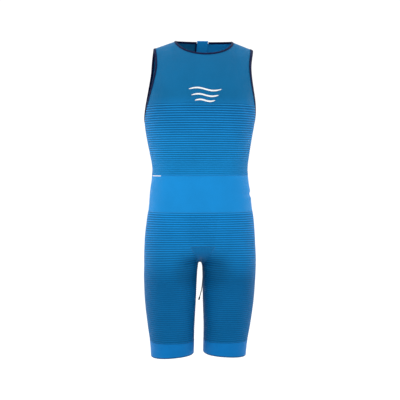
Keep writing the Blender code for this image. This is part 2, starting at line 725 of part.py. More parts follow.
def make_armhole_bindings(halves):
    rows = list(range(YOKE_ROWS)) + [YOKE_ROWS + 2 * i for i in range(ARMHOLE_RIBS + 1)]
    for side in (LEFT, RIGHT):
        front, back = halves[FRONT, side], halves[BACK, side]
        path = [front.points[r, -1] for r in rows] + [back.points[r, -1] for r in rows[-2:0:-1]]
        normals = ([front.normals[r, -1] for r in rows]
                   + [back.normals[r, -1] for r in rows[-2:0:-1]])
        sheet = binding_sheet(np.array(path), np.array(normals), side, closed=True)
        add_sheet_object("armhole_binding_" + SIDE_NAMES[side], sheet, "navy", wrap=True,
                         wall=WALL + BINDING_PROUD)


# ---------------------------------------------------------------- zip

def zip_strip_rows(halves, first_row):
    """The back panels' inner rows from first_row down, which everything at the zip follows."""
    return [r for r in halves[BACK, RIGHT].inner_rows if r >= first_row]


def beside_zip(halves, row, x, out):
    """Point over the back panels' own faces at a distance x from the zip, raised by out."""
    side = RIGHT if x >= 0.0 else LEFT
    edges = [halves[BACK, s].points[row, 0] for s in (LEFT, RIGHT)]
    edge_normals = [halves[BACK, s].normals[row, 0] for s in (LEFT, RIGHT)]
    if abs(x) <= ZIP_HALF_SLOT:
        share = (x + ZIP_HALF_SLOT) / (2 * ZIP_HALF_SLOT)
        return mix(edges[0], edges[1], share) + unit(mix(edge_normals[0], edge_normals[1], share)) * out
    sheet = halves[BACK, side]
    near = sheet.points[row, 0] + sheet.normals[row, 0] * out
    far = sheet.points[row, 1] + sheet.normals[row, 1] * out
    width = abs(sheet.points[row, 1][0] - sheet.points[row, 0][0])
    return mix(near, far, (abs(x) - ZIP_HALF_SLOT) / width)


def strip_sheet(halves, rows, xs, out, thickness):
    """A flat strip along the zip: its outer face lies at out, its inner one a thickness in."""
    points = np.array([[beside_zip(halves, r, x, out) for x in xs] for r in rows])
    inner = np.array([[beside_zip(halves, r, x, out - thickness) for x in xs] for r in rows])
    return Sheet(points, unit(points - inner), np.zeros(len(rows)), every_row(points))


def make_zip_strips(halves):
    """Chain in the slot, and a tape under each panel with the chain's half on its edge."""
    chain_rows = zip_strip_rows(halves, 1)
    chain = strip_sheet(halves, chain_rows, (-CHAIN_HALF_WIDTH, CHAIN_HALF_WIDTH), CHAIN_PROUD,
                        CHAIN_PROUD + WALL)
    pull_in(chain.points, row=-1, amount=SEAM)
    add_sheet_object("zip_chain", chain, "zip_black", wall=CHAIN_PROUD + WALL)
    for side in (LEFT, RIGHT):
        xs = sorted(side * x for x in (SEAM, ZIP_HALF_SLOT, TAPE_REACH))
        tape = strip_sheet(halves, zip_strip_rows(halves, 0), xs, TAPE_OUT, TAPE_THICKNESS)
        pull_in(tape.points, row=-1, amount=SEAM)
        add_sheet_object("zip_tape_" + SIDE_NAMES[side], tape, "zip_black", wall=TAPE_THICKNESS)


def make_zip_guard(halves):
    """Runs up inside the zip, stands above the neck's edge and folds down over its outside."""
    xs = (-GUARD_HALF_WIDTH, -ZIP_HALF_SLOT, ZIP_HALF_SLOT, GUARD_HALF_WIDTH)
    rows = zip_strip_rows(halves, 0)[::-1]
    inside = [[beside_zip(halves, r, x, GUARD_OUT) for x in xs] for r in rows]
    flap_out = CHAIN_PROUD + SEAM
    top = [[beside_zip(halves, 0, x, GUARD_OUT) for x in xs],
           [beside_zip(halves, 0, x, flap_out) for x in xs]]
    lower = [beside_zip(halves, 1, x, flap_out) for x in xs]
    upward = [unit(top[1][i] - lower[i]) for i in range(len(xs))]
    radius = (flap_out - GUARD_OUT) / 2
    fold = []
    for step in range(GUARD_FOLD_STEPS + 1):
        turn = pi * step / GUARD_FOLD_STEPS
        fold.append([mix(top[0][i], top[1][i], (1 - cos(turn)) / 2)
                     + upward[i] * (GUARD_RISE - radius + radius * sin(turn))
                     for i in range(len(xs))])
    flap = [[top[1][i] - upward[i] * GUARD_FLAP for i in range(len(xs))]]
    inside[0] = list(np.array(inside[0]) + unit(np.array(inside[1]) - np.array(inside[0])) * SEAM)
    points = np.array(inside + fold + flap)
    sheet = Sheet(points, grid_normals(points), np.zeros(len(points)), every_row(points))
    add_sheet_object("zip_guard", sheet, "band_blue", wall=GUARD_THICKNESS)


def slider_frame(halves):
    """(origin, up, out) on the chain's outer face, where the slider is parked below the flap."""
    upper, lower = (beside_zip(halves, row, 0.0, CHAIN_PROUD) for row in (1, 2))
    up = unit(upper - lower)
    up = unit(np.array([0.0, up[1], up[2]]))
    return mix(upper, lower, SLIDER_PLACE), up, np.cross(up, (1.0, 0.0, 0.0))


def place(made, origin, up, out):
    """Give an object the axes X, out and up at an origin."""
    axes = Matrix(((1.0, out[0], up[0]), (0.0, out[1], up[1]), (0.0, out[2], up[2])))
    made.matrix_world = Matrix.Translation(Vector(origin)) @ axes.to_4x4()
    return made


def box_mesh(bm, low, high):
    size = Vector(high) - Vector(low)
    matrix = Matrix.Translation((Vector(low) + Vector(high)) / 2) @ Matrix.Diagonal((*size, 1.0))
    bmesh.ops.create_cube(bm, size=1.0, matrix=matrix)


def outline_mesh(bm, outline, y_low, y_high):
    """A plate with the given (x, z) outline between two values of y."""
    face = bm.faces.new([bm.verts.new((x, y_low, z)) for x, z in outline])
    pushed = bmesh.ops.extrude_face_region(bm, geom=[face])
    moved = [v for v in pushed["geom"] if isinstance(v, bmesh.types.BMVert)]
    bmesh.ops.translate(bm, verts=moved, vec=(0.0, y_high - y_low, 0.0))


def rod_mesh(bm, radius, start, end):
    """A round rod between two points that differ along one axis."""
    line = Vector(end) - Vector(start)
    matrix = (Matrix.Translation((Vector(start) + Vector(end)) / 2)
              @ line.to_track_quat("Z", "Y").to_matrix().to_4x4())
    bmesh.ops.create_cone(bm, cap_ends=True, segments=ROD_SIDES, radius1=radius, radius2=radius,
                          depth=line.length, matrix=matrix)


def combine(made, shape, operation, name):
    """Add or cut away a helper shape with an exact Boolean."""
    bmesh.ops.recalc_face_normals(shape, faces=shape.faces)
    mesh = bpy.data.meshes.new(name)
    shape.to_mesh(mesh)
    shape.free()
    helper = bpy.data.objects.new(name, mesh)
    helper.matrix_world = made.matrix_world
    helper.hide_render = True
    helper.display_type = "WIRE"
    bpy.context.scene.collection.objects.link(helper)
    modifier = made.modifiers.new(name, "BOOLEAN")
    modifier.operation = operation
    modifier.object = helper


def make_slider(halves):
    """A plate over the chain with two ears and a pin, which carries the pull tab."""
    origin, up, out = slider_frame(halves)
    bm = bmesh.new()
    outline_mesh(bm, SLIDER_OUTLINE, SEAM, SEAM + SLIDER_THICKNESS)
    slider = place(add_object("zip_slider", bm, "zip_black"), origin, up, out)
    top = SEAM + SLIDER_THICKNESS
    for side, name in SIDE_NAMES.items():
        ear = bmesh.new()
        inner_x, outer_x = sorted((side * EAR_INNER_X, side * EAR_OUTER_X))
        box_mesh(ear, (inner_x, top - EAR_SINK, PIN_UP - EAR_HALF_LENGTH),
                 (outer_x, top + PIN_OUT + EAR_HALF_LENGTH, PIN_UP + EAR_HALF_LENGTH))
        combine(slider, ear, "UNION", "ear_" + name)
    pin = bmesh.new()
    pin_x = (EAR_INNER_X + EAR_OUTER_X) / 2
    rod_mesh(pin, PIN_RADIUS, (-pin_x, top + PIN_OUT, PIN_UP), (pin_x, top + PIN_OUT, PIN_UP))
    combine(slider, pin, "UNION", "pin")
    return origin + out * (top + PIN_OUT) + up * PIN_UP, up, out


def make_pull_tab(pin, up, out):
    """Hangs from the pin by a bored knuckle; its origin is on the pin's axis."""
    lean = cos(TAB_LEAN), sin(TAB_LEAN)
    tab_up, tab_out = up * lean[0] + out * lean[1], out * lean[0] - up * lean[1]
    bm = bmesh.new()
    outline_mesh(bm, TAB_OUTLINE, -TAB_THICKNESS / 2, TAB_THICKNESS / 2)
    tab = place(add_object("pull_tab", bm, "zip_black"), pin, tab_up, tab_out)
    knuckle = bmesh.new()
    rod_mesh(knuckle, KNUCKLE_RADIUS, (-KNUCKLE_HALF_WIDTH, 0.0, 0.0), (KNUCKLE_HALF_WIDTH, 0.0, 0.0))
    combine(tab, knuckle, "UNION", "knuckle")
    socket = bmesh.new()
    rod_mesh(socket, SOCKET_RADIUS, (0.0, 0.0, SOCKET_TOP), (0.0, 0.0, TAB_END))
    combine(tab, socket, "UNION", "socket")
    bore = bmesh.new()
    rod_mesh(bore, PIN_RADIUS + SEAM, (-EAR_OUTER_X, 0.0, 0.0), (EAR_OUTER_X, 0.0, 0.0))
    combine(tab, bore, "DIFFERENCE", "bore")


# ---------------------------------------------------------------- pull cord

def smooth_route(route, count):
    """Points at even distances along a smooth curve through the route's own points."""
    knots = [Vector(p) for p in route]
    knots = [2 * knots[0] - knots[1]] + knots + [2 * knots[-1] - knots[-2]]
    fine = []
    for a, b, c, d in zip(knots, knots[1:], knots[2:], knots[3:]):
        for i in range(ROUTE_STEPS):
            t = i / ROUTE_STEPS
            fine.append(0.5 * (2 * b + (c - a) * t + (2 * a - 5 * b + 4 * c - d) * t * t
                               + (3 * b - a - 3 * c + d) * t**3))
    fine.append(knots[-2])
    lengths = np.cumsum([0.0] + [(q - p).length for p, q in zip(fine, fine[1:])])
    places = np.linspace(0.0, lengths[-1], count)
    return [Vector(np.interp(s, lengths, [p[i] for p in fine]) for i in range(3)) for s in places]


def make_pull_cord():
    """The cord hangs over the shoulder blades and the seat, then free; a hard end closes it."""
    points = smooth_route(CORD_ROUTE, CORD_POINTS)
    curve = bpy.data.curves.new("pull_cord", "CURVE")
    curve.dimensions = "3D"
    curve.bevel_depth = CORD_DIAMETER / 2
    curve.bevel_resolution = 2
    curve.use_fill_caps = True
    spline = curve.splines.new("POLY")
    spline.points.add(len(points) - 1)
    for spot, point in zip(spline.points, points):
        spot.co = (*point, 1.0)
    curve.materials.append(material("cord_grey"))
    bpy.context.scene.collection.objects.link(bpy.data.objects.new("pull_cord", curve))

    down = (points[-1] - points[-2]).normalized()
    turn = down.to_track_quat("Z", "Y").to_matrix().to_4x4()
    bm = bmesh.new()
    bmesh.ops.create_cone(bm, cap_ends=True, segments=ROD_SIDES, radius1=CORD_TIP_RADIUS,
                          radius2=CORD_TIP_RADIUS, depth=CORD_TIP_LENGTH)
    rims = [e for e in bm.edges if abs(e.verts[0].co.z - e.verts[1].co.z) < WELD]
    bmesh.ops.bevel(bm, geom=rims, offset=CORD_TIP_BEVEL, segments=1, affect="EDGES", profile=0.5)
    middle = points[-1] + down * (SEAM + CORD_TIP_LENGTH / 2)
    bmesh.ops.transform(bm, matrix=Matrix.Translation(middle) @ turn, verts=bm.verts)
    add_object("cord_end", bm, "zip_black")


def main():
    for old in list(bpy.data.objects):
        bpy.data.objects.remove(old)
    upper = make_upper_panels()
    make_waist_band()
    lower = make_shorts()
    make_gusset(lower)
    make_hem_bands()
    make_neck_binding(upper)
    make_armhole_bindings(upper)
    make_zip_strips(upper)
    make_zip_guard(upper)
    pin, up, out = make_slider(upper)
    make_pull_tab(pin, up, out)
    make_pull_cord()


main()
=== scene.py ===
"""Looks of a sleeveless ribbed swimskin wetsuit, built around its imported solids.

The file is laid out as an add-on: sizes and colours are properties, each piece or group of like
pieces has an operator, and one more sets the stage.
"""

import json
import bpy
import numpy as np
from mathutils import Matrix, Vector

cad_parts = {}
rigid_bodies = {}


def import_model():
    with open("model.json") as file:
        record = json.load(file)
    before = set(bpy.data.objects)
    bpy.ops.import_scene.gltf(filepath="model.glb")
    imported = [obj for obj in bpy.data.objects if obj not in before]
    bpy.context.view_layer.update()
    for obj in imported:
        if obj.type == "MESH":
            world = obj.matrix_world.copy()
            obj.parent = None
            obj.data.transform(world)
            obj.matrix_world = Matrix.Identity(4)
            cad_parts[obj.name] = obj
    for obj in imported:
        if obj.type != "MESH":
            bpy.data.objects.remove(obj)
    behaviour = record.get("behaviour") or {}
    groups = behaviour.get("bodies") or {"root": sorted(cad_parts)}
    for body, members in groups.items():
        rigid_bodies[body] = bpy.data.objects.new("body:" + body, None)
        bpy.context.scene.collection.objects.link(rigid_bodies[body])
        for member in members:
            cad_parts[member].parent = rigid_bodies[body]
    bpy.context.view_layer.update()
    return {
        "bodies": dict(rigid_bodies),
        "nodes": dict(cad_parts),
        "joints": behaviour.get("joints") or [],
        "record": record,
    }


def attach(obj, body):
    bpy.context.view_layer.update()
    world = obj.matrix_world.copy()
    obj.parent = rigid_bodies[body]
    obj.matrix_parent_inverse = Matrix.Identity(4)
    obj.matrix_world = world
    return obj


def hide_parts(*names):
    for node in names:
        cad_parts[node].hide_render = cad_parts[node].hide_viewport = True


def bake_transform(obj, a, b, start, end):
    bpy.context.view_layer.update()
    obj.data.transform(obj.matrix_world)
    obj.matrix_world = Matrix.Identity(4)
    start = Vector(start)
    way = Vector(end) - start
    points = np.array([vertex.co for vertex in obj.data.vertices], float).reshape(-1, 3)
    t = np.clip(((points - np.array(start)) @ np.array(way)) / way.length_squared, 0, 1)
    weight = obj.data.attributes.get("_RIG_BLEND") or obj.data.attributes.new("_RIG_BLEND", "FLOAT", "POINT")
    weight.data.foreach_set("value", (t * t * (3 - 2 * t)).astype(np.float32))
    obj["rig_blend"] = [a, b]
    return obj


bl_info = {
    "name": "Swimskin wetsuit",
    "version": (1, 0, 0),
    "blender": (4, 5, 0),
    "location": "View3D > Sidebar > Wetsuit",
    "description": "Builds a sleeveless ribbed swimskin with its bindings, zip, cord and sewing",
    "category": "Object",
}

from collections import namedtuple
from functools import lru_cache
from math import asin, atan2, cos, pi, radians, sin, sqrt

import bmesh
import bpy
from bpy.props import FloatProperty, FloatVectorProperty, IntProperty, PointerProperty
from mathutils import Matrix, Vector

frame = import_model()

# ---------------------------------------------------------------- the suit's sizes, in metres

ROUNDNESS = 2.3           # exponent of the oval sections, 2 being an ellipse
WALL = 0.0014
SEAM = 0.00034
WELD = 0.000005

RIB_TOP_Z = -0.191        # where the plain yoke turns into ribs
BAND_TOP_Z = -0.396
BAND_BOTTOM_Z = -0.504
GUSSET_TOP_Z = -0.600
CROTCH_Z = -0.655
GUSSET_CORNER_Z = -0.695  # where the gusset ends on the inner leg seam
SPLIT_END_Z = -0.672
HEM_BAND_TOP_Z = -0.884
HEM_Z = -0.925
HEM_TILT = 0.0045         # how far a hem lies lower outside, and higher inside, than in its middle

CHEST_RIBS = 32
CHEST_RIB_SPREAD = 0.12
ARMHOLE_RIBS = 7
BELLY_RIBS = 15
GUSSET_RIBS = 15
THIGH_RIBS = 31
SIDE_DROP = 0.010         # how far the belly's ribs sink towards the side seams
DROP_END_Z = -0.770

NECK_HALF_WIDTH = 0.087
NECK_FRONT_Z = -0.048
NECK_BACK_Z = 0.001
TIP_HALF_WIDTH = 0.1435
SHOULDER_SLOPE = 0.37
NECK_RISE = 0.020
SHOULDER_Y = 0.015
NECK_REACH = 4 / 6        # share of half a top edge that is neckline; the rest is shoulder seam

ARMHOLE_MIDDLE_Z = -0.080
ARMHOLE_EXPONENT = 1.6
ARMHOLE_CUT = {-1: 0.66, 1: 0.58}
ARMHOLE_CUT_TIP = 0.612

ZIP_HALF_SLOT = 0.0042
CROWN_FULLNESS = 0.20
CROWN_RISE = 2.2
CROWN_SQUARENESS = 4.0
GUSSET_SHARE = 0.86
BAND_SHARE = 5 / 6

FRONT, BACK = -1, 1
LEFT, RIGHT = -1, 1       # as seen in the front view
SIDE_NAMES = {LEFT: "left", RIGHT: "right"}


class Table(list):
    """Sections from the top down, which a cache tells apart as a whole."""
    __hash__ = object.__hash__


TorsoSection = namedtuple("TorsoSection", "z centre_x half_width front_depth back_depth")
TORSO = Table([
    TorsoSection(0.040, 0.012, 0.172, 0.096, 0.094),
    TorsoSection(-0.020, 0.011, 0.170, 0.102, 0.100),
    TorsoSection(-0.070, 0.007, 0.168, 0.108, 0.106),
    TorsoSection(-0.130, 0.003, 0.167, 0.113, 0.111),
    TorsoSection(-0.190, 0.001, 0.166, 0.115, 0.111),
    TorsoSection(-0.240, -0.001, 0.163, 0.114, 0.107),
    TorsoSection(-0.285, -0.002, 0.156, 0.110, 0.101),
    TorsoSection(-0.335, -0.001, 0.147, 0.104, 0.093),
    TorsoSection(-0.376, 0.000, 0.141, 0.101, 0.089),
    TorsoSection(-0.405, 0.000, 0.143, 0.100, 0.089),
    TorsoSection(-0.447, 0.000, 0.1485, 0.100, 0.094),
    TorsoSection(-0.492, 0.001, 0.153, 0.101, 0.103),
    TorsoSection(-0.527, 0.001, 0.158, 0.102, 0.111),
    TorsoSection(-0.581, 0.000, 0.163, 0.0965, 0.1155),
    TorsoSection(-0.643, 0.000, 0.165, 0.0985, 0.1175),
    TorsoSection(-0.720, -0.001, 0.165, 0.098, 0.112),
])
LegSection = namedtuple("LegSection", "z centre_x offset half_width front_depth back_depth")
LEG = Table([
    LegSection(-0.600, 0.000, 0.0865, 0.0790, 0.122, 0.146),
    LegSection(-0.636, 0.000, 0.0865, 0.0788, 0.1005, 0.1195),
    LegSection(-0.660, 0.000, 0.0865, 0.0785, 0.0915, 0.1045),
    LegSection(-0.700, -0.001, 0.0870, 0.0775, 0.0865, 0.0945),
    LegSection(-0.768, -0.002, 0.0860, 0.0745, 0.080, 0.083),
    LegSection(-0.839, -0.003, 0.0830, 0.0685, 0.070, 0.073),
    LegSection(-0.892, -0.004, 0.0790, 0.0640, 0.064, 0.066),
    LegSection(-0.940, -0.005, 0.0770, 0.0620, 0.062, 0.064),
])

# Soft troughs with a ridge on each side, where the cloth gathers a little. x and z are the middle
# of one, angle its lean from level, length and width its reach, and depth how deep it is.
Crease = namedtuple("Crease", "face x z angle length width depth")
CREASE_FAR_X, CREASE_FAR_Z = 0.15, 0.08
CREASE_LENGTHS, CREASE_WIDTHS = 2.5, 4.0      # after so many of them it has faded out
CREASE_RIDGE = 0.8
FADE_BASE = 2.718
CREASES = [
    Crease(FRONT, 0.142, -0.453, -6, 0.034, 0.007, 0.0026),
    Crease(FRONT, -0.148, -0.447, 5, 0.020, 0.006, 0.0010),
    Crease(FRONT, -0.034, -0.646, 8, 0.030, 0.009, 0.0044),
    Crease(FRONT, 0.036, -0.650, -10, 0.026, 0.009, 0.0040),
    Crease(FRONT, -0.060, -0.668, 16, 0.030, 0.010, 0.0014),
    Crease(FRONT, 0.062, -0.670, -16, 0.030, 0.010, 0.0014),
    Crease(FRONT, -0.128, -0.222, 52, 0.030, 0.008, 0.0012),
    Crease(FRONT, 0.134, -0.214, -52, 0.030, 0.008, 0.0012),
    Crease(BACK, 0.000, -0.352, 0, 0.085, 0.009, 0.0016),
    Crease(BACK, 0.018, -0.386, 4, 0.070, 0.008, 0.0014),
    Crease(BACK, -0.030, -0.424, -3, 0.080, 0.009, 0.0018),
    Crease(BACK, 0.060, -0.448, 5, 0.060, 0.008, 0.0013),
    Crease(BACK, -0.078, -0.640, 7, 0.045, 0.010, 0.0030),
    Crease(BACK, 0.080, -0.642, -7, 0.045, 0.010, 0.0030),
    Crease(BACK, -0.098, -0.672, 12, 0.034, 0.010, 0.0014),
    Crease(BACK, 0.100, -0.674, -12, 0.034, 0.010, 0.0014),
    Crease(BACK, -0.080, -0.852, 2, 0.040, 0.008, 0.0013),
    Crease(BACK, 0.080, -0.858, -3, 0.040, 0.008, 0.0013),
    Crease(BACK, -0.120, -0.236, 48, 0.034, 0.008, 0.0013),
    Crease(BACK, 0.124, -0.232, -48, 0.034, 0.008, 0.0013),
]


# ---------------------------------------------------------------- numbers and curves

def mix(a, b, share):
    return a + (b - a) * share


def ease(share):
    share = min(max(share, 0.0), 1.0)
    return share * share * (3.0 - 2.0 * share)


@lru_cache(maxsize=None)
def read_table(rows, z, column):
    """A named column at height z, on a smooth curve through the table's rows."""
    below = next((i for i, row in enumerate(rows) if row.z <= z), len(rows) - 1)
    below = max(below, 1)

    def slope(i):
        first, last = rows[max(i - 1, 0)], rows[min(i + 1, len(rows) - 1)]
        return (getattr(last, column) - getattr(first, column)) / (last.z - first.z)

    above = below - 1
    span = rows[below].z - rows[above].z
    s = (z - rows[above].z) / span
    return ((2 * s**3 - 3 * s**2 + 1) * getattr(rows[above], column)
            + (s**3 - 2 * s**2 + s) * span * slope(above)
            + (3 * s**2 - 2 * s**3) * getattr(rows[below], column)
            + (s**3 - s**2) * span * slope(below))


def depth_column(face):
    return "front_depth" if face == FRONT else "back_depth"


def on_oval(angle, half_width, depth):
    """(x, depth) on a rounded oval, at an angle from the middle of its front or back."""
    s, c = sin(angle), cos(angle)
    reach = (abs(s)**ROUNDNESS + abs(c)**ROUNDNESS) ** (-1.0 / ROUNDNESS)
    return half_width * s * reach, depth * c * reach


def other_share(share):
    """On an oval, the share of depth that goes with a share of half width, and back."""
    return max(1.0 - abs(share)**ROUNDNESS, 0.0) ** (1.0 / ROUNDNESS)


# ---------------------------------------------------------------- the form of the upper body

def chest_height(ribs):
    """Height at a number of ribs, whole or not, below the yoke."""
    share = ribs / CHEST_RIBS
    share += CHEST_RIB_SPREAD * share * (1.0 - share)
    return RIB_TOP_Z - (RIB_TOP_Z - BAND_TOP_Z - SEAM / 2) * share


UNDERARM_Z = chest_height(ARMHOLE_RIBS)


def ridge_height(x):
    """Height of the shoulder line, carried on over the neck."""
    if abs(x) >= NECK_HALF_WIDTH:
        return -SHOULDER_SLOPE * (abs(x) - NECK_HALF_WIDTH)
    return NECK_RISE * (1.0 - (x / NECK_HALF_WIDTH)**2)


def armhole_share(face, z):
    """Depth of the armhole's edge at height z, as a share of the section's depth."""
    cut = ARMHOLE_CUT[face]
    if z >= ARMHOLE_MIDDLE_Z:
        up = (z - ARMHOLE_MIDDLE_Z) / (ridge_height(TIP_HALF_WIDTH) - ARMHOLE_MIDDLE_Z)
        return mix(cut, ARMHOLE_CUT_TIP, up * up)
    down = min((ARMHOLE_MIDDLE_Z - z) / (ARMHOLE_MIDDLE_Z - UNDERARM_Z), 1.0)
    return cut * (1.0 - down**ARMHOLE_EXPONENT) ** (1.0 / ARMHOLE_EXPONENT)


def inner_edge(face):
    return ZIP_HALF_SLOT if face == BACK else 0.0


def upper_surface(face, x, z):
    """The point of the upper body's front or back at a distance x from its middle line."""
    y = face * read_table(TORSO, z, depth_column(face))
    y *= other_share(x / read_table(TORSO, z, "half_width"))
    if z > RIB_TOP_Z:
        climb = min((z - RIB_TOP_Z) / (ridge_height(x) - RIB_TOP_Z), 1.0)
        y = mix(SHOULDER_Y, y, sqrt(1.0 - climb * climb))
    return Vector((x + read_table(TORSO, z, "centre_x"), y, z))


def chest_reach(face, reach, z):
    """(distance from the middle line, depth) at and below the top ribs; reach is 0 to 1."""
    share = armhole_share(face, z)
    half_width = read_table(TORSO, z, "half_width")
    edge_x = half_width * other_share(share)
    x, depth = on_oval(reach * atan2(other_share(share), share), half_width,
                       read_table(TORSO, z, depth_column(face)))
    return mix(inner_edge(face), edge_x, x / edge_x), depth


def chest_point(face, side, reach, z):
    x, depth = chest_reach(face, reach, z)
    return Vector((side * x + read_table(TORSO, z, "centre_x"), face * depth, z))


def top_line(face, reach):
    """(x, z) of the upper edge: the neckline, then the shoulder seam; reach is 0 to 1."""
    if reach < NECK_REACH:
        angle = reach / NECK_REACH * pi / 2
        x = mix(inner_edge(face), NECK_HALF_WIDTH, sin(angle))
        return x, (NECK_FRONT_Z if face == FRONT else NECK_BACK_Z) * cos(angle)
    x = mix(NECK_HALF_WIDTH, TIP_HALF_WIDTH, (reach - NECK_REACH) / (1.0 - NECK_REACH))
    return x, ridge_height(x)


def yoke_point(face, side, reach, rise):
    """Point above the top ribs; rise runs from 0 there to 1 at neckline and shoulder seam."""
    start = inner_edge(face)
    low_share = ((chest_reach(face, reach, RIB_TOP_Z)[0] - start)
                 / (chest_reach(face, 1.0, RIB_TOP_Z)[0] - start))
    high_x, high_z = top_line(face, reach)
    high_share = (high_x - start) / (TIP_HALF_WIDTH - start)
    edge_z = mix(RIB_TOP_Z, ridge_height(TIP_HALF_WIDTH), sin(rise * pi / 2))
    edge_x = read_table(TORSO, edge_z, "half_width") * other_share(armhole_share(face, edge_z))
    edge_x = mix(edge_x, TIP_HALF_WIDTH, rise**4)
    x = mix(start, edge_x, mix(low_share, high_share, ease(rise)))
    climb = min((high_z - RIB_TOP_Z) / (ridge_height(high_x) - RIB_TOP_Z), 1.0)
    turn = rise * asin(climb)
    z = mix(RIB_TOP_Z, ridge_height(x), sin(turn))
    depth = read_table(TORSO, z, depth_column(face))
    depth *= other_share(x / read_table(TORSO, z, "half_width"))
    return Vector((side * x + read_table(TORSO, z, "centre_x"),
                   mix(SHOULDER_Y, face * depth, cos(turn)), z))


def upper_point(face, side, reach, ribs):
    """A panel's point: ribs counts down from the yoke's foot, and is -1 at the upper edge."""
    if ribs < 0.0:
        return yoke_point(face, side, reach, -ribs)
    return chest_point(face, side, reach, chest_height(ribs))


# ---------------------------------------------------------------- the form of belly and legs

def trunk_point(angle, z):
    """Point of a trunk section; angle 0 is the middle front, a quarter turn the +X side."""
    face = FRONT if cos(angle) >= 0.0 else BACK
    x, depth = on_oval(angle, read_table(TORSO, z, "half_width"),
                       read_table(TORSO, z, depth_column(face)))
    return Vector((x + read_table(TORSO, z, "centre_x"), -depth, z))


def leg_point(side, angle, z):
    """Point of a leg section; angle 0 is its middle front, a quarter turn its outer side."""
    face = FRONT if cos(angle) >= 0.0 else BACK
    x, depth = on_oval(angle, read_table(LEG, z, "half_width"),
                       read_table(LEG, z, depth_column(face)))
    x = side * (x + read_table(LEG, z, "offset")) + read_table(LEG, z, "centre_x")
    return Vector((x, -depth, z))


def lower_point(face, side, inward, z):
    """Point below the waist band; inward runs from 0 at the side seam to 1 in the middle."""
    trunk_angle = (1.0 - inward) * pi / 2
    leg_angle = (0.5 - inward) * pi
    if face == BACK:
        trunk_angle, leg_angle = pi - trunk_angle, pi - leg_angle
    split = ease((GUSSET_TOP_Z - z) / (GUSSET_TOP_Z - SPLIT_END_Z))
    return mix(trunk_point(side * trunk_angle, z), leg_point(side, leg_angle, z), split)


def leg_share(across, z):
    """How far inward a place lies; across is 0 at the side seam, 1 at the gusset's corner and
    below it at the inner leg seam, and 2 in the middle of the belly."""
    if z > GUSSET_TOP_Z:
        edge = mix(BAND_SHARE, GUSSET_SHARE,
                   ease((BAND_BOTTOM_Z - z) / (BAND_BOTTOM_Z - GUSSET_TOP_Z)))
    else:
        edge = mix(GUSSET_SHARE, 1.0,
                   min((GUSSET_TOP_Z - z) / (GUSSET_TOP_Z - GUSSET_CORNER_Z), 1.0))
    return edge * across if across <= 1.0 else mix(edge, 1.0, across - 1.0)


def shorts_point(face, side, across, z):
    inward = leg_share(across, z)
    along = (BAND_BOTTOM_Z - z) / (BAND_BOTTOM_Z - DROP_END_Z)
    drop = SIDE_DROP * sin(pi * along) if along < 1.0 else 0.0
    return lower_point(face, side, inward, z - drop * (1.0 - inward)**2)


SHORTS_STRETCHES = (     # (ribs, height at the top, height at the foot)
    (BELLY_RIBS, BAND_BOTTOM_Z - SEAM / 2, GUSSET_TOP_Z),
    (GUSSET_RIBS, GUSSET_TOP_Z, GUSSET_CORNER_Z),
    (THIGH_RIBS, GUSSET_CORNER_Z, HEM_BAND_TOP_Z + SEAM / 2),
)


def shorts_height(ribs):
    """Height at a number of ribs, whole or not, below the waist band."""
    for count, top, foot in SHORTS_STRETCHES:
        if ribs <= count:
            return mix(top, foot, ribs / count)
        ribs -= count
    return foot


def gusset_point(face, across, down):
    """Point of the saddle between the legs; across runs from -1, left, to 1, right, and down from
    0 at its top edge to 1 in the crotch."""
    z = mix(GUSSET_TOP_Z, GUSSET_CORNER_Z, down)
    ends = [shorts_point(face, side, 1.0, z) for side in (LEFT, RIGHT)]
    top_y = shorts_point(face, LEFT, 1.0, GUSSET_TOP_Z).y
    middle_y = shorts_point(face, LEFT, 2.0, GUSSET_TOP_Z).y
    crown = (ends[0] + ends[1]) / 2
    crown.y = mix(ends[0].y * middle_y / top_y, middle_y * cos(down * pi / 2), CROWN_FULLNESS)
    crown.z += (CROTCH_Z - GUSSET_CORNER_Z) * down**CROWN_RISE
    bulge = crown - (ends[0] + ends[1]) / 2
    power = mix(2.0, CROWN_SQUARENESS, down)
    return mix(ends[0], ends[1], (across + 1) / 2) + bulge * (1 - abs(across)**power)


def crease_lift(point):
    """How far a crease sinks or raises the cloth at a point."""
    face = FRONT if point.y < 0.0 else BACK
    lift = 0.0
    for crease in CREASES:
        dx, dz = point.x - crease.x, point.z - crease.z
        if crease.face != face or abs(dx) > CREASE_FAR_X or abs(dz) > CREASE_FAR_Z:
            continue
        s, c = sin(radians(crease.angle)), cos(radians(crease.angle))
        along, off = (dx * c + dz * s) / crease.length, (dz * c - dx * s) / crease.width
        if abs(along) < CREASE_LENGTHS and abs(off) < CREASE_WIDTHS:
            fade = FADE_BASE ** (-along * along - off * off / 2)
            lift -= crease.depth * (1.0 - CREASE_RIDGE * off * off) * fade
    return lift


# ---------------------------------------------------------------- frames along edges and routes

SIDEWAYS = Vector((1.0, 0.0, 0.0))
NORMAL_PASSES, BEYOND_PASSES = 6, 4
BACK_STEP = 1 / 24        # share of a back panel that counts as straight beside the zip


def upper_normal(face, side, reach, ribs):
    """Unit normal of a panel, from small steps that stay on it."""
    step = 0.002
    across = (upper_point(face, side, min(reach + step, 1.0), ribs)
              - upper_point(face, side, max(reach - step, 0.0), ribs))
    down = (upper_point(face, side, reach, ribs + step)
            - upper_point(face, side, reach, max(ribs - step, -1.0)))
    return across.cross(down).normalized() * face * side


def smoothed(vectors, passes, closed):
    """Average each vector with its neighbours, a number of times."""
    for _ in range(passes):
        last = len(vectors) - 1
        vectors = [(2 * v + vectors[i - 1 if i or closed else 0]
                    + vectors[(i + 1) % len(vectors) if i < last or closed else last]).normalized()
                   for i, v in enumerate(vectors)]
    return vectors


EdgeFrame = namedtuple("EdgeFrame", "point normal beyond")


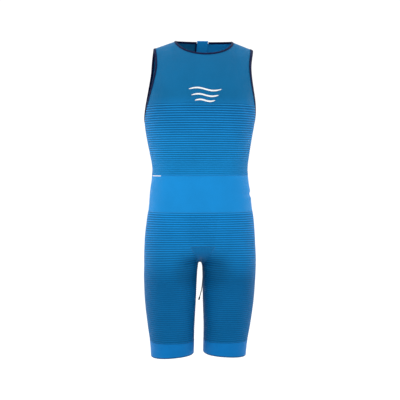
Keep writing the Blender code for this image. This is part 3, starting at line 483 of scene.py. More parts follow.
def edge_frames(places, inward, closed):
    """Frames along a cloth edge; places are (face, side, reach, ribs), and inward gives a place a
    step further from the edge, by which beyond comes to point away from the cloth."""
    points = [upper_point(*place) for place in places]
    normals = smoothed([upper_normal(*place) for place in places], NORMAL_PASSES, closed)
    count = len(points)
    frames = []
    for i, point in enumerate(points):
        after = points[(i + 1) % count] if closed or i < count - 1 else point
        before = points[i - 1] if closed or i else point
        beyond = normals[i].cross(after - before).normalized()
        if beyond.dot(point - upper_point(*inward(places[i]))) < 0.0:
            beyond = -beyond
        frames.append(EdgeFrame(point, normals[i], beyond))
    beyonds = smoothed([f.beyond for f in frames], BEYOND_PASSES, closed)
    return [EdgeFrame(f.point, f.normal, b) for f, b in zip(frames, beyonds)]


def back_point(x, ribs, out=0.0):
    """Point of the back at a distance x from the zip, carried straight over its slot."""
    ends = [(upper_point(BACK, side, 0.0, ribs) + upper_normal(BACK, side, 0.0, ribs) * out)
            for side in (LEFT, RIGHT)]
    if abs(x) <= ZIP_HALF_SLOT:
        return mix(ends[0], ends[1], (x / ZIP_HALF_SLOT + 1) / 2)
    side = RIGHT if x > 0.0 else LEFT
    near = ends[0 if side == LEFT else 1]
    far = (upper_point(BACK, side, BACK_STEP, ribs)
           + upper_normal(BACK, side, BACK_STEP, ribs) * out)
    return mix(near, far, (abs(x) - ZIP_HALF_SLOT) / abs(far.x - near.x))


def smooth_route(route, count):
    """Points at even distances along a smooth curve through the route's own points."""
    knots = [Vector(p) for p in route]
    knots = [2 * knots[0] - knots[1]] + knots + [2 * knots[-1] - knots[-2]]
    fine = []
    for a, b, c, d in zip(knots, knots[1:], knots[2:], knots[3:]):
        for i in range(ROUTE_STEPS):
            t = i / ROUTE_STEPS
            fine.append(0.5 * (2 * b + (c - a) * t + (2 * a - 5 * b + 4 * c - d) * t * t
                               + (3 * b - a - 3 * c + d) * t**3))
    fine.append(knots[-2])
    return evenly(fine, count)


def evenly(points, count):
    """The same line with a number of points at even distances."""
    lengths = [0.0]
    for p, q in zip(points, points[1:]):
        lengths.append(lengths[-1] + (q - p).length)
    result, k = [], 0
    for i in range(count):
        place = lengths[-1] * i / (count - 1)
        while k < len(points) - 2 and lengths[k + 1] < place:
            k += 1
        span = lengths[k + 1] - lengths[k]
        result.append(mix(points[k], points[k + 1], (place - lengths[k]) / span if span else 0.0))
    return result


# ---------------------------------------------------------------- meshes

def bent_grid(bm, columns, rows, place):
    """Add a grid and bend it: place(i, j) gives the point of column i and row j, its texture
    coordinates across and down in metres, and its ribs, or None for plain cloth."""
    uv = bm.loops.layers.uv.get("cloth") or bm.loops.layers.uv.new("cloth")
    ribs = bm.verts.layers.float.get("ribs") or bm.verts.layers.float.new("ribs")
    made = bmesh.ops.create_grid(bm, x_segments=columns, y_segments=rows, size=0.5)["verts"]
    for vert in made:
        i, j = round((vert.co.x + 0.5) * columns), round((0.5 - vert.co.y) * rows)
        point, across, down, count = place(i, j)
        vert.co = point
        vert[ribs] = -1.0 if count is None else count
        for loop in vert.link_loops:
            loop[uv].uv = (across, down)


def weld_and_face(bm, inside):
    """Join touching points and turn the faces away from a point inside."""
    bmesh.ops.remove_doubles(bm, verts=bm.verts, dist=WELD)
    bmesh.ops.recalc_face_normals(bm, faces=bm.faces)
    bm.faces.ensure_lookup_table()
    first = bm.faces[0]
    if first.normal.dot(first.calc_center_median() - Vector(inside)) < 0.0:
        bmesh.ops.reverse_faces(bm, faces=bm.faces)
    bm.normal_update()


def raise_cloth(bm, rib_height, crease_amount):
    """Raise ribs and creases along the normals."""
    ribs = bm.verts.layers.float["ribs"]
    for vert in bm.verts:
        lift = crease_lift(vert.co) * crease_amount
        if vert[ribs] > 0.0:
            lift += rib_height * (0.5 - 0.5 * cos(2 * pi * vert[ribs]))
        vert.co += vert.normal * lift


def add_box(bm, matrix, size, bevel=0.0):
    """A box with its edges taken off, in a frame of its own."""
    made = bmesh.ops.create_cube(bm, size=1.0, matrix=matrix @ Matrix.Diagonal((*size, 1.0)))
    if bevel:
        edges = list(dict.fromkeys(edge for vert in made["verts"] for edge in vert.link_edges))
        bmesh.ops.bevel(bm, geom=edges, offset=bevel, segments=2, profile=0.5, affect="EDGES",
                        material=-1)


def add_rod(bm, matrix, radius, length, sides=20, bevel=0.0):
    """A round rod along its frame's Z, with its rims rounded."""
    made = bmesh.ops.create_cone(bm, cap_ends=True, segments=sides, radius1=radius,
                                 radius2=radius, depth=length, matrix=matrix)
    if bevel:
        rims = list(dict.fromkeys(edge for vert in made["verts"] for edge in vert.link_edges
                                  if any(len(face.verts) > 4 for face in edge.link_faces)))
        bmesh.ops.bevel(bm, geom=rims, offset=bevel, segments=3, profile=0.5, affect="EDGES",
                        material=-1)


def pour(part, bm):
    """Empty one mesh into another. Operators slow down as a mesh fills, so a long row of small
    shapes is made in parts."""
    mesh = bpy.data.meshes.new("part")
    part.to_mesh(mesh)
    part.free()
    bm.from_mesh(mesh)
    bpy.data.meshes.remove(mesh)


def frame_matrix(origin, x_axis, y_axis, z_axis):
    return Matrix.Translation(origin) @ Matrix((x_axis, y_axis, z_axis)).transposed().to_4x4()


def add_stitches(bm, line, normals, length, width, pitch, slant=0.0):
    """Short threads laid on a line, each between two holes, at an even pitch."""
    total = sum((q - p).length for p, q in zip(line, line[1:]))
    count = max(round(total / pitch), 2)
    spots = evenly(line, count + 1)
    row = bmesh.new()
    for k in range(count):
        along = (spots[k + 1] - spots[k]).normalized()
        normal = normals[round(k / count * (len(normals) - 1))]
        across = normal.cross(along).normalized()
        normal = along.cross(across)
        frame = frame_matrix((spots[k] + spots[k + 1]) / 2, along, across, normal)
        add_box(row, frame @ Matrix.Rotation(slant if k % 2 else -slant, 4, "Z"),
                (length, width, width * 0.8))
    pour(row, bm)


def add_piece(name, bm, material, nodes, body="suit", wall=0.0, smooth=True,
              painted_light_lining=None):
    """Link a mesh as a finished piece: its looks, its body and the solids it stands for. A piece
    without a body is blended between two afterwards."""
    mesh = bpy.data.meshes.new(name)
    for face in bm.faces:
        face.smooth = smooth
    if wall:
        for edge in bm.edges:
            edge.smooth = not edge.is_boundary
    bm.to_mesh(mesh)
    bm.free()
    mesh.materials.append(material)
    piece = bpy.data.objects.new(name, mesh)
    bpy.context.scene.collection.objects.link(piece)
    if wall:
        modifier = piece.modifiers.new("wall", "SOLIDIFY")
        modifier.thickness = wall
        modifier.offset = -1.0
        # a second material on the inside face, used for painted light
        if painted_light_lining:
            mesh.materials.append(painted_light_lining)
            modifier.material_offset = 1
    if body:
        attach(piece, body)
    if nodes:
        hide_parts(*nodes)
    return piece


# ---------------------------------------------------------------- materials

def linear(text):
    """Linear red, green and blue of an sRGB colour written as six hex digits."""
    shares = [int(text[i:i + 2], 16) / 255 for i in (0, 2, 4)]
    return tuple(c / 12.92 if c <= 0.04045 else ((c + 0.055) / 1.055)**2.4 for c in shares)


def add_node(tree, kind, inputs=(), **settings):
    """Add a node with its settings; inputs maps a socket to a value or to the output it takes.
    A mix node's numbers are its sockets 2 and 3, and its colours 6 and 7."""
    node = tree.nodes.new(kind)
    for name, value in settings.items():
        setattr(node, name, value)
    for socket, value in dict(inputs).items():
        if isinstance(value, bpy.types.NodeSocket):
            tree.links.new(value, node.inputs[socket])
        else:
            node.inputs[socket].default_value = value
    return node


def calculate(tree, operation, *values):
    """The output of a math node fed with up to three values."""
    return add_node(tree, "ShaderNodeMath", enumerate(values), operation=operation).outputs[0]


def start_material(name):
    """A new material's node tree and its shader."""
    made = bpy.data.materials.new(name)
    made.use_nodes = True
    return made, made.node_tree, made.node_tree.nodes["Principled BSDF"]


def shade(tree, colour, factor):
    """A colour, plain or from an output, made brighter or darker by a factor."""
    return add_node(tree, "ShaderNodeVectorMath", {0: colour, "Scale": factor},
                    operation="SCALE").outputs[0]


def object_axes(tree):
    """The object's own coordinates as three outputs."""
    place = add_node(tree, "ShaderNodeTexCoord").outputs["Object"]
    return add_node(tree, "ShaderNodeSeparateXYZ", {0: place}).outputs


def blotches(tree, scale, low, high, detail=2.0):
    """Soft noise in the object's own space, between two factors."""
    place = add_node(tree, "ShaderNodeTexCoord").outputs["Object"]
    noise = add_node(tree, "ShaderNodeTexNoise",
                     {"Vector": place, "Scale": scale, "Detail": detail}).outputs[0]
    return add_node(tree, "ShaderNodeMapRange", {0: noise, 1: 0.3, 2: 0.7, 3: low, 4: high},
                    interpolation_type="SMOOTHSTEP").outputs[0]


def cloth_axes(tree):
    """Metres across the cloth and down it, as two outputs."""
    place = add_node(tree, "ShaderNodeUVMap", uv_map="cloth").outputs[0]
    return add_node(tree, "ShaderNodeSeparateXYZ", {0: place}).outputs[:2]


def wave(tree, distance, period, phase=0.0):
    """A cosine along a distance, from -1 to 1."""
    turn = calculate(tree, "MULTIPLY_ADD", distance, 2 * pi / period, phase)
    return calculate(tree, "COSINE", turn)


def loops_of_knit(tree, wale, course):
    """Height of knitted loops: columns of small Vs, wale apart and course tall."""
    across, down = cloth_axes(tree)
    columns = wave(tree, across, wale)
    lean = calculate(tree, "MULTIPLY", wave(tree, across, wale, pi / 2), 1.4)
    turn = calculate(tree, "MULTIPLY_ADD", down, 2 * pi / course, lean)
    return calculate(tree, "MULTIPLY_ADD", calculate(tree, "COSINE", turn), 0.5,
                     calculate(tree, "MULTIPLY", columns, 0.5))


def finish_cloth(tree, shader, colour, height, depth, roughness, sheen, level=0.16):
    """Give a shader its colour and the soft, slightly shiny surface of a bumpy cloth."""
    bump = add_node(tree, "ShaderNodeBump", {"Height": height, "Distance": depth, "Strength": 1.0})
    tree.links.new(bump.outputs[0], shader.inputs["Normal"])
    tree.links.new(colour, shader.inputs["Base Color"])
    rough = blotches(tree, 60.0, roughness - 0.05, roughness + 0.05)
    tree.links.new(rough, shader.inputs["Roughness"])
    shader.inputs["Sheen Weight"].default_value = sheen
    shader.inputs["Sheen Roughness"].default_value = 0.42
    shader.inputs["Sheen Tint"].default_value = (*SHEEN_TINT, 1.0)
    shader.inputs["Specular Tint"].default_value = (*GLOSS_TINT, 1.0)
    shader.inputs["Specular IOR Level"].default_value = level


# Real loops are 0.35 mm apart; drawn coarser, so that they still show as a grain.
RIB_WALE, RIB_COURSE = 0.0016, 0.0013
PLAIN_WALE, PLAIN_COURSE = 0.0013, 0.0011
DOT_PITCH = 0.0085        # of the openwork's diamonds, along their sides
TAPE_RIB, TAPE_THREAD = 0.0014, 0.0011
TWILL_PITCH = 0.0012
STRAND_PITCH = 0.0031     # twice as broad as a real cord's strands, which would be too fine to see

SHEEN_TINT = linear("2E96D6")
GLOSS_TINT = linear("6FBBEA")

CROTCH_PAINTED_SHADE_X, CROTCH_PAINTED_SHADE_Z = 0.030, -0.665    # middle of the painted shade, on each thigh
CROTCH_PAINTED_SHADE_NEAR, CROTCH_PAINTED_SHADE_FAR = 0.015, 0.075
CROTCH_PAINTED_SHADE_TONE = 0.72

# (height, yoke and rib colour there), down the suit. Darker over the thighs: partly the stretched knit,
# partly painted shade where less light reaches the legs.
RIB_TONES = (
    (0.04, "126596"),
    (-0.17, "126596"),
    (-0.21, "1471AF"),
    (-0.37, "157CBB"),
    (-0.53, "137ABD"),
    (-0.62, "1272B0"),
    # thigh colours: partly painted shade
    (-0.70, "085A8F"),
    (-0.88, "075B91"),
)


def painted_crotch_shade(tree):
    """Painted shade at the top of the inner thighs: a darker colour where the legs shade each other."""
    apart = object_axes(tree)
    across = calculate(tree, "SUBTRACT", calculate(tree, "ABSOLUTE", apart[0], 0.0),
                       CROTCH_PAINTED_SHADE_X)
    down = calculate(tree, "SUBTRACT", apart[2], CROTCH_PAINTED_SHADE_Z)
    reach = calculate(tree, "SQRT", calculate(tree, "ADD",
                                              calculate(tree, "MULTIPLY", across, across),
                                              calculate(tree, "MULTIPLY", down, down)), 0.0)
    return add_node(tree, "ShaderNodeMapRange",
                    {0: reach, 1: CROTCH_PAINTED_SHADE_NEAR, 2: CROTCH_PAINTED_SHADE_FAR,
                     3: CROTCH_PAINTED_SHADE_TONE, 4: 1.0},
                    interpolation_type="SMOOTHSTEP").outputs[0]


def ribbed_knit(colours):
    """Polyamide and elastane rib knit.

    To the eye: matt blue cloth with a faint shine, plain in the yoke; on the ribs its colour carries a
    painted highlight along each crest and painted shade in the valleys between them.
    """
    made, tree, shader = start_material("ribbed_polyamide_knit")
    height = object_axes(tree)[2]
    top, foot = RIB_TONES[0][0], RIB_TONES[-1][0]
    share = add_node(tree, "ShaderNodeMapRange", {0: height, 1: top, 2: foot}).outputs[0]
    tones = add_node(tree, "ShaderNodeValToRGB", {0: share})
    while len(tones.color_ramp.elements) < len(RIB_TONES):
        tones.color_ramp.elements.new(0.5)
    for stop, (z, text) in zip(tones.color_ramp.elements, RIB_TONES):
        stop.position = (z - top) / (foot - top)
        stop.color = (*linear(text), 1.0)
    ribs = add_node(tree, "ShaderNodeAttribute", attribute_name="ribs").outputs["Fac"]
    crest = calculate(tree, "MULTIPLY_ADD", wave(tree, ribs, 1.0), -0.5, 0.5)
    ribbed = calculate(tree, "GREATER_THAN", ribs, 0.0)
    # painted highlight along the rib crests and painted shade in the valleys, fainter over the thighs
    line = calculate(tree, "POWER", crest, 2.5)
    faint = add_node(tree, "ShaderNodeMapRange",
                     {0: height, 1: GUSSET_TOP_Z, 2: GUSSET_CORNER_Z, 3: 1.0, 4: 0.55}).outputs[0]
    tone = add_node(tree, "ShaderNodeMapRange",
                    {0: line, 3: colours.valley_painted_shade, 4: colours.crest_painted_highlight}).outputs[0]
    tone = add_node(tree, "ShaderNodeMix", {0: calculate(tree, "MULTIPLY", ribbed, faint),
                                            2: 1.0, 3: tone}).outputs[0]
    tone = calculate(tree, "MULTIPLY", tone, blotches(tree, 11.0, 0.95, 1.05))
    tone = calculate(tree, "MULTIPLY", tone, blotches(tree, 700.0, 0.94, 1.06))
    # painted shade between the thighs
    tone = calculate(tree, "MULTIPLY", tone, painted_crotch_shade(tree))
    loops = loops_of_knit(tree, RIB_WALE, RIB_COURSE)
    finish_cloth(tree, shader, shade(tree, tones.outputs[0], tone), loops, 0.00012, 0.62, 0.10)
    return made


def plain_knit(colours):
    """Smooth polyamide knit of the waist band, hem bands and zip guard.

    To the eye: a brighter, even blue with a silkier shine than the ribs.
    """
    made, tree, shader = start_material("smooth_polyamide_knit")
    height = object_axes(tree)[2]
    share = add_node(tree, "ShaderNodeMapRange",
                     {0: height, 1: BAND_BOTTOM_Z, 2: HEM_BAND_TOP_Z}).outputs[0]
    colour = add_node(tree, "ShaderNodeMix", {0: share, 6: (*colours.band, 1.0),
                                              7: (*colours.hem_band, 1.0)},
                      data_type="RGBA").outputs[2]
    tone = calculate(tree, "MULTIPLY", blotches(tree, 13.0, 0.96, 1.04),
                     blotches(tree, 800.0, 0.96, 1.04))
    turned = add_node(tree, "ShaderNodeAttribute", attribute_name="ribs").outputs["Fac"]
    turned = calculate(tree, "GREATER_THAN", turned, 0.0)     # painted shade: the fold at a hem's foot is darker
    tone = calculate(tree, "MULTIPLY", tone, calculate(tree, "MULTIPLY_ADD", turned, -0.6, 1.0))
    loops = loops_of_knit(tree, PLAIN_WALE, PLAIN_COURSE)
    finish_cloth(tree, shader, shade(tree, colour, tone), loops, 0.00008, 0.54, 0.10, 0.20)
    return made


def mesh_knit(colours):
    """Openwork knit of the crotch gusset.

    To the eye: small dark dots in rows of diamonds on blue, the dots being painted shade in the openwork's
    holes.
    """
    made, tree, shader = start_material("openwork_knit")
    across, down = cloth_axes(tree)
    one = wave(tree, calculate(tree, "ADD", across, down), DOT_PITCH)
    other = wave(tree, calculate(tree, "SUBTRACT", across, down), DOT_PITCH)
    dots = calculate(tree, "MAXIMUM", calculate(tree, "MULTIPLY", one, other), 0.0)
    dots = calculate(tree, "POWER", dots, 1.6)
    # painted shade in the holes of the openwork
    colour = add_node(tree, "ShaderNodeMix", {0: dots, 6: (*colours.gusset, 1.0),
                                              7: (*colours.gusset_hole_shade, 1.0)},
                      data_type="RGBA").outputs[2]
    depth = calculate(tree, "MULTIPLY_ADD", dots, -3.0,
                      loops_of_knit(tree, PLAIN_WALE, PLAIN_COURSE))
    finish_cloth(tree, shader, shade(tree, colour, blotches(tree, 400.0, 0.94, 1.06)), depth,
                 0.00010, 0.62, 0.08)
    return made


def binding_tape(colours):
    """Folded elastic tape along neck and armholes.

    To the eye: deep navy, finely ribbed across, with a dull shine.
    """
    made, tree, shader = start_material("elastic_binding_tape")
    across, down = cloth_axes(tree)
    ribs = wave(tree, down, TAPE_RIB)
    height = calculate(tree, "ADD", ribs, calculate(tree, "MULTIPLY",
                                                    wave(tree, across, TAPE_THREAD), 0.4))
    # painted shade: the colour dips in the valleys of the fine ribs
    tone = calculate(tree, "MULTIPLY_ADD", ribs, 0.08, blotches(tree, 90.0, 0.90, 1.12))
    finish_cloth(tree, shader, shade(tree, colours.binding, tone), height, 0.00010, 0.60, 0.04,
                 0.12)
    return made


def zip_cloth(colours):
    """Woven polyester zip tape.

    To the eye: near black, with a fine slanting twill.
    """
    made, tree, shader = start_material("woven_zip_tape")
    across, down = cloth_axes(tree)
    twill = wave(tree, calculate(tree, "MULTIPLY_ADD", across, 0.7, down), TWILL_PITCH)
    # painted shade: the colour follows the twill's relief, darker in its grooves
    tone = calculate(tree, "MULTIPLY_ADD", twill, 0.15, blotches(tree, 200.0, 0.85, 1.15))
    finish_cloth(tree, shader, shade(tree, colours.zip, tone), twill, 0.00010, 0.70, 0.15)
    return made


def zip_plastic(colours):
    """Moulded acetal teeth.

    To the eye: black and waxy, duller where the slider has rubbed them.
    """
    made, tree, shader = start_material("moulded_acetal")
    worn = blotches(tree, 500.0, 0.9, 1.5)
    tree.links.new(shade(tree, colours.zip, worn), shader.inputs["Base Color"])
    tree.links.new(blotches(tree, 900.0, 0.28, 0.46), shader.inputs["Roughness"])
    return made


def zip_metal(colours):
    """Zinc casting under black enamel, for the slider and its tab.

    To the eye: black gloss with soft scuffs, and an edge where the grey metal shows through.
    """
    made, tree, shader = start_material("enamelled_zinc")
    place = add_node(tree, "ShaderNodeNewGeometry").outputs["Pointiness"]
    edge = add_node(tree, "ShaderNodeMapRange", {0: place, 1: 0.53, 2: 0.60}).outputs[0]
    bare = calculate(tree, "MULTIPLY", edge, blotches(tree, 1400.0, 0.0, 1.0))
    colour = add_node(tree, "ShaderNodeMix", {0: bare, 6: (*colours.enamel, 1.0),
                                              7: (*linear("A7A9AA"), 1.0)},
                      data_type="RGBA").outputs[2]
    tree.links.new(colour, shader.inputs["Base Color"])
    tree.links.new(bare, shader.inputs["Metallic"])
    tree.links.new(blotches(tree, 800.0, 0.24, 0.42), shader.inputs["Roughness"])
    shader.inputs["Coat Weight"].default_value = 0.4
    shader.inputs["Coat Roughness"].default_value = 0.15
    return made


def cord_braid(colours):
    """Braided polyester cord.

    To the eye: grey-brown strands that cross in small diamonds.
    """
    made, tree, shader = start_material("braided_polyester")
    around, along = cloth_axes(tree)
    one = wave(tree, calculate(tree, "MULTIPLY_ADD", around, 1.0, along), STRAND_PITCH)
    other = wave(tree, calculate(tree, "MULTIPLY_ADD", around, -1.0, along), STRAND_PITCH)
    height = calculate(tree, "MAXIMUM", one, other)
    # painted shade: the colour darkens down into the grooves between the strands
    tone = add_node(tree, "ShaderNodeMapRange", {0: height, 1: -0.2, 2: 1.0, 3: 0.55, 4: 1.1})
    finish_cloth(tree, shader, shade(tree, colours.cord, tone.outputs[0]), height, 0.00020,
                 0.68, 0.20)
    return made


def cord_plastic(colours):
    """Moulded nylon end of the cord.

    To the eye: charcoal, satin, with a faint grain from its mould.
    """
    made, tree, shader = start_material("moulded_nylon")
    grain = blotches(tree, 2200.0, 0.0, 1.0)
    bump = add_node(tree, "ShaderNodeBump", {"Height": grain, "Distance": 0.00004})
    tree.links.new(bump.outputs[0], shader.inputs["Normal"])
    tree.links.new(blotches(tree, 900.0, 0.40, 0.58), shader.inputs["Roughness"])
    shader.inputs["Base Color"].default_value = (*colours.enamel, 1.0)
    return made


def sewing_thread(colours):
    """Textured polyester thread, laid flat over the seams.

    To the eye: a shade lighter than the cloth, with a fine twist.
    """
    made, tree, shader = start_material("polyester_thread")
    twist = blotches(tree, 1800.0, 0.82, 1.12)
    tree.links.new(shade(tree, colours.thread, twist), shader.inputs["Base Color"])
    tree.links.new(blotches(tree, 1500.0, 0.45, 0.65), shader.inputs["Roughness"])
    shader.inputs["Sheen Weight"].default_value = 0.2
    return made


def print_ink(colours):
    """Screen-print ink on the cloth.

    To the eye: soft white with a rubbery sheen, thinned a little where the cloth stretches.
    """
    made, tree, shader = start_material("screen_print_ink")
    thin = blotches(tree, 600.0, 0.86, 1.0)
    tree.links.new(shade(tree, colours.ink, thin), shader.inputs["Base Color"])
    tree.links.new(blotches(tree, 900.0, 0.42, 0.55), shader.inputs["Roughness"])
    return made


def floor_paper(colours):
    """Seamless studio paper.

    To the eye: pale and matt, with hardly any grain.
    """
    made, tree, shader = start_material("seamless_paper")
    tree.links.new(shade(tree, colours.floor, blotches(tree, 3.0, 0.99, 1.0)),
                   shader.inputs["Base Color"])
    grain = blotches(tree, 400.0, 0.0, 1.0)
    bump = add_node(tree, "ShaderNodeBump", {"Height": grain, "Distance": 0.0001})
    tree.links.new(bump.outputs[0], shader.inputs["Normal"])
    shader.inputs["Roughness"].default_value = 0.9
    return made


def look(maker):
    """A maker's material, made once."""
    colours = bpy.context.scene.swimskin_colours
    if maker.__name__ not in MADE_LOOKS:
        MADE_LOOKS[maker.__name__] = maker(colours)
    return MADE_LOOKS[maker.__name__]


MADE_LOOKS = {}


# ---------------------------------------------------------------- settings

class SwimskinSizes(bpy.types.PropertyGroup):
    rib_height: FloatProperty(name="Rib height", description="Height of a rib above its valleys",
                              default=0.0009, min=0.0, max=0.002, unit="LENGTH")
    crease_amount: FloatProperty(name="Creases", description="How strong the soft creases are",
                                 default=1.0, min=0.0, max=2.0, subtype="FACTOR")
    rows_per_rib: IntProperty(name="Rows per rib", description="Mesh rows across one rib",
                              default=6, min=4, max=8)
    binding_width: FloatProperty(name="Binding width", description="Reach beyond the cloth's edge",
                                 default=0.0059, min=0.003, max=0.010, unit="LENGTH")
    tooth_pitch: FloatProperty(name="Tooth pitch", description="Distance between a zip's teeth",
                               default=0.0020, min=0.001, max=0.004, unit="LENGTH")
    stitch_pitch: FloatProperty(name="Stitch pitch", description="Distance between stitches",
                                default=0.0024, min=0.001, max=0.006, unit="LENGTH")


def colour_property(name, text):
    return FloatVectorProperty(name=name, description=name + " of the suit, linear", size=3,
                               subtype="COLOR", min=0.0, max=1.0, default=linear(text))


class SwimskinColours(bpy.types.PropertyGroup):
    # painted shade between the ribs and painted highlight on their crests
    valley_painted_shade: FloatProperty(name="Valley painted shade", description="Brightness between the ribs",
                               default=0.60, min=0.2, max=2.0, subtype="FACTOR")
    crest_painted_highlight: FloatProperty(name="Crest painted highlight", description="Brightness on the ribs",
                              default=1.55, min=0.2, max=2.0, subtype="FACTOR")
    band: colour_property("Waist band colour", "1885CB")
    hem_band: colour_property("Hem band colour", "0A6BAE")
    gusset: colour_property("Gusset colour", "1169A2")
    # painted shade seen through the gusset's holes
    gusset_hole_shade: colour_property("Gusset hole shade colour", "043559")
    binding: colour_property("Binding colour", "10143A")
    zip: colour_property("Zip colour", "12161E")
    enamel: colour_property("Enamel colour", "14171C")
    cord: colour_property("Cord colour", "746E68")
    thread: colour_property("Thread colour", "1C7CB8")
    ink: colour_property("Ink colour", "F4F6F7")
    floor: colour_property("Floor colour", "F2F3F4")


# ---------------------------------------------------------------- cord, zip and pull

CORD_DIAMETER = 0.003
CORD_POINTS = 78
ROUTE_STEPS = 24
CORD_ROUTE = (            # from the pull tab's socket over the back to the cord's end
    (0.0106, 0.0854, -0.0510),
    (0.0112, 0.0954, -0.0750),
    (0.0125, 0.1043, -0.1050),
    (0.0140, 0.1115, -0.1400),
    (0.0152, 0.1146, -0.1780),
    (0.0162, 0.1150, -0.2300),
    (0.0175, 0.1145, -0.3100),
    (0.0188, 0.1142, -0.4000),
    (0.0200, 0.1150, -0.4800),
    (0.0209, 0.1174, -0.5250),
    (0.0216, 0.1205, -0.5700),
    (0.0221, 0.1216, -0.6100),
    (0.0222, 0.1216, -0.6700),
    (0.0184, 0.1214, -0.7320),
    (0.0152, 0.1213, -0.7570),
    (0.0096, 0.1212, -0.7780),
)
CORD_LENGTH = 0.733
CORD_SIDES = 12
CORD_SWING_START = 12     # the point of the route from which the cord stays on the suit
CORD_TIP_RADIUS = 0.0024
CORD_TIP_LENGTH = 0.0100
GRIP_RINGS = (-0.0018, 0.0, 0.0018)    # places along the cord's end

PIN = Vector((0.010646, 0.072679, -0.024543))
ZIP_UP = Vector((0.0, -0.504, 0.864))
ZIP_OUT = Vector((0.0, 0.864, 0.504))
PIN_UP, PIN_OUT = -0.0030, 0.0016
SLIDER_THICKNESS = 0.0024
EAR_X = 0.00245
TAB_LEAN = 0.08           # radians, towards the back
TAB_WIDTH, TAB_THICKNESS = 0.0068, 0.0012
TAPE_OUT = -(WALL + SEAM)
TAPE_THICKNESS = 0.0008
TAPE_REACH = 0.0150
GUARD_HALF_WIDTH = 0.0165
GUARD_THICKNESS = 0.0009
GUARD_RISE = 0.0095       # above the cloth's edge at the nape
GUARD_FLAP = 0.0135       # its turned-down end, below the cloth's edge
GUARD_OUT = TAPE_OUT - TAPE_THICKNESS - SEAM
FLAP_OUT = 0.0004 + SEAM
NAPE_ROW = -6 / 7         # the row of the yoke at the slider
ZIP_FOOT = CHEST_RIBS - 0.15
ZIP_ROWS = 130
CHEST_RIB_PITCH = 0.0064  # mean, for texture coordinates
GUARD_ROW = 0.0032        # length of one row, for texture coordinates
TOOTH = (0.0040, 0.42, 0.0016)     # width, length as a share of the pitch, thickness
TEETH_IN_PART = 24


class SWIMSKIN_OT_pull_cord(bpy.types.Operator):
    """Hang the braided pull cord and its moulded end down the back."""
    bl_idname = "swimskin.pull_cord"
    bl_label = "Pull cord"

    def execute(self, context):
        route = smooth_route(CORD_ROUTE, 2 * CORD_POINTS - 1)

        def place(i, j):
            along = (route[min(j + 1, len(route) - 1)] - route[max(j - 1, 0)]).normalized()
            first = (SIDEWAYS - along * along.x).normalized()
            turn = 2 * pi * i / CORD_SIDES
            out = first * cos(turn) + along.cross(first) * sin(turn)
            return (route[j] + out * CORD_DIAMETER / 2, i / CORD_SIDES * 2 * STRAND_PITCH,
                    j * CORD_LENGTH / (len(route) - 1), None)

        bm = bmesh.new()
        bent_grid(bm, CORD_SIDES, len(route) - 1, place)
        weld_and_face(bm, route[0])
        bmesh.ops.holes_fill(bm, edges=[e for e in bm.edges if e.is_boundary], sides=0)
        cord = add_piece("pull_cord_braid", bm, look(cord_braid), ["pull_cord"],
                         body=None)

        along = (route[-1] - route[-2]).normalized()
        middle = route[-1] + along * (SEAM + CORD_TIP_LENGTH / 2)
        frame = Matrix.Translation(middle) @ along.to_track_quat("Z", "Y").to_matrix().to_4x4()
        bm = bmesh.new()
        add_rod(bm, frame, CORD_TIP_RADIUS, CORD_TIP_LENGTH, sides=24, bevel=0.0009)
        for off in GRIP_RINGS:
            add_rod(bm, frame @ Matrix.Translation((0.0, 0.0, off)), CORD_TIP_RADIUS + 0.00012,
                    0.0007, sides=24, bevel=0.00015)
        end = add_piece("cord_end_moulding", bm, look(cord_plastic), ["cord_end"])
        [tuple(p) for p in smooth_route(CORD_ROUTE, CORD_POINTS)]
        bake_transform(cord, "suit", "tab", start=tuple(route[2 * CORD_SWING_START]),
                 end=tuple(route[0]))
        return {"FINISHED"}


def zip_line(count, first=NAPE_ROW, last=CHEST_RIBS - 0.2):
    """Frames down the middle of the zip at even distances: (point, down, out)."""
    fine = [back_point(0.0, mix(first, last, k / 400)) for k in range(401)]
    spots = evenly(fine, count)
    frames = []
    for k, spot in enumerate(spots):
        down = (spots[min(k + 1, count - 1)] - spots[max(k - 1, 0)]).normalized()
        frames.append((spot, down, down.cross(SIDEWAYS) * -1.0))
    return frames


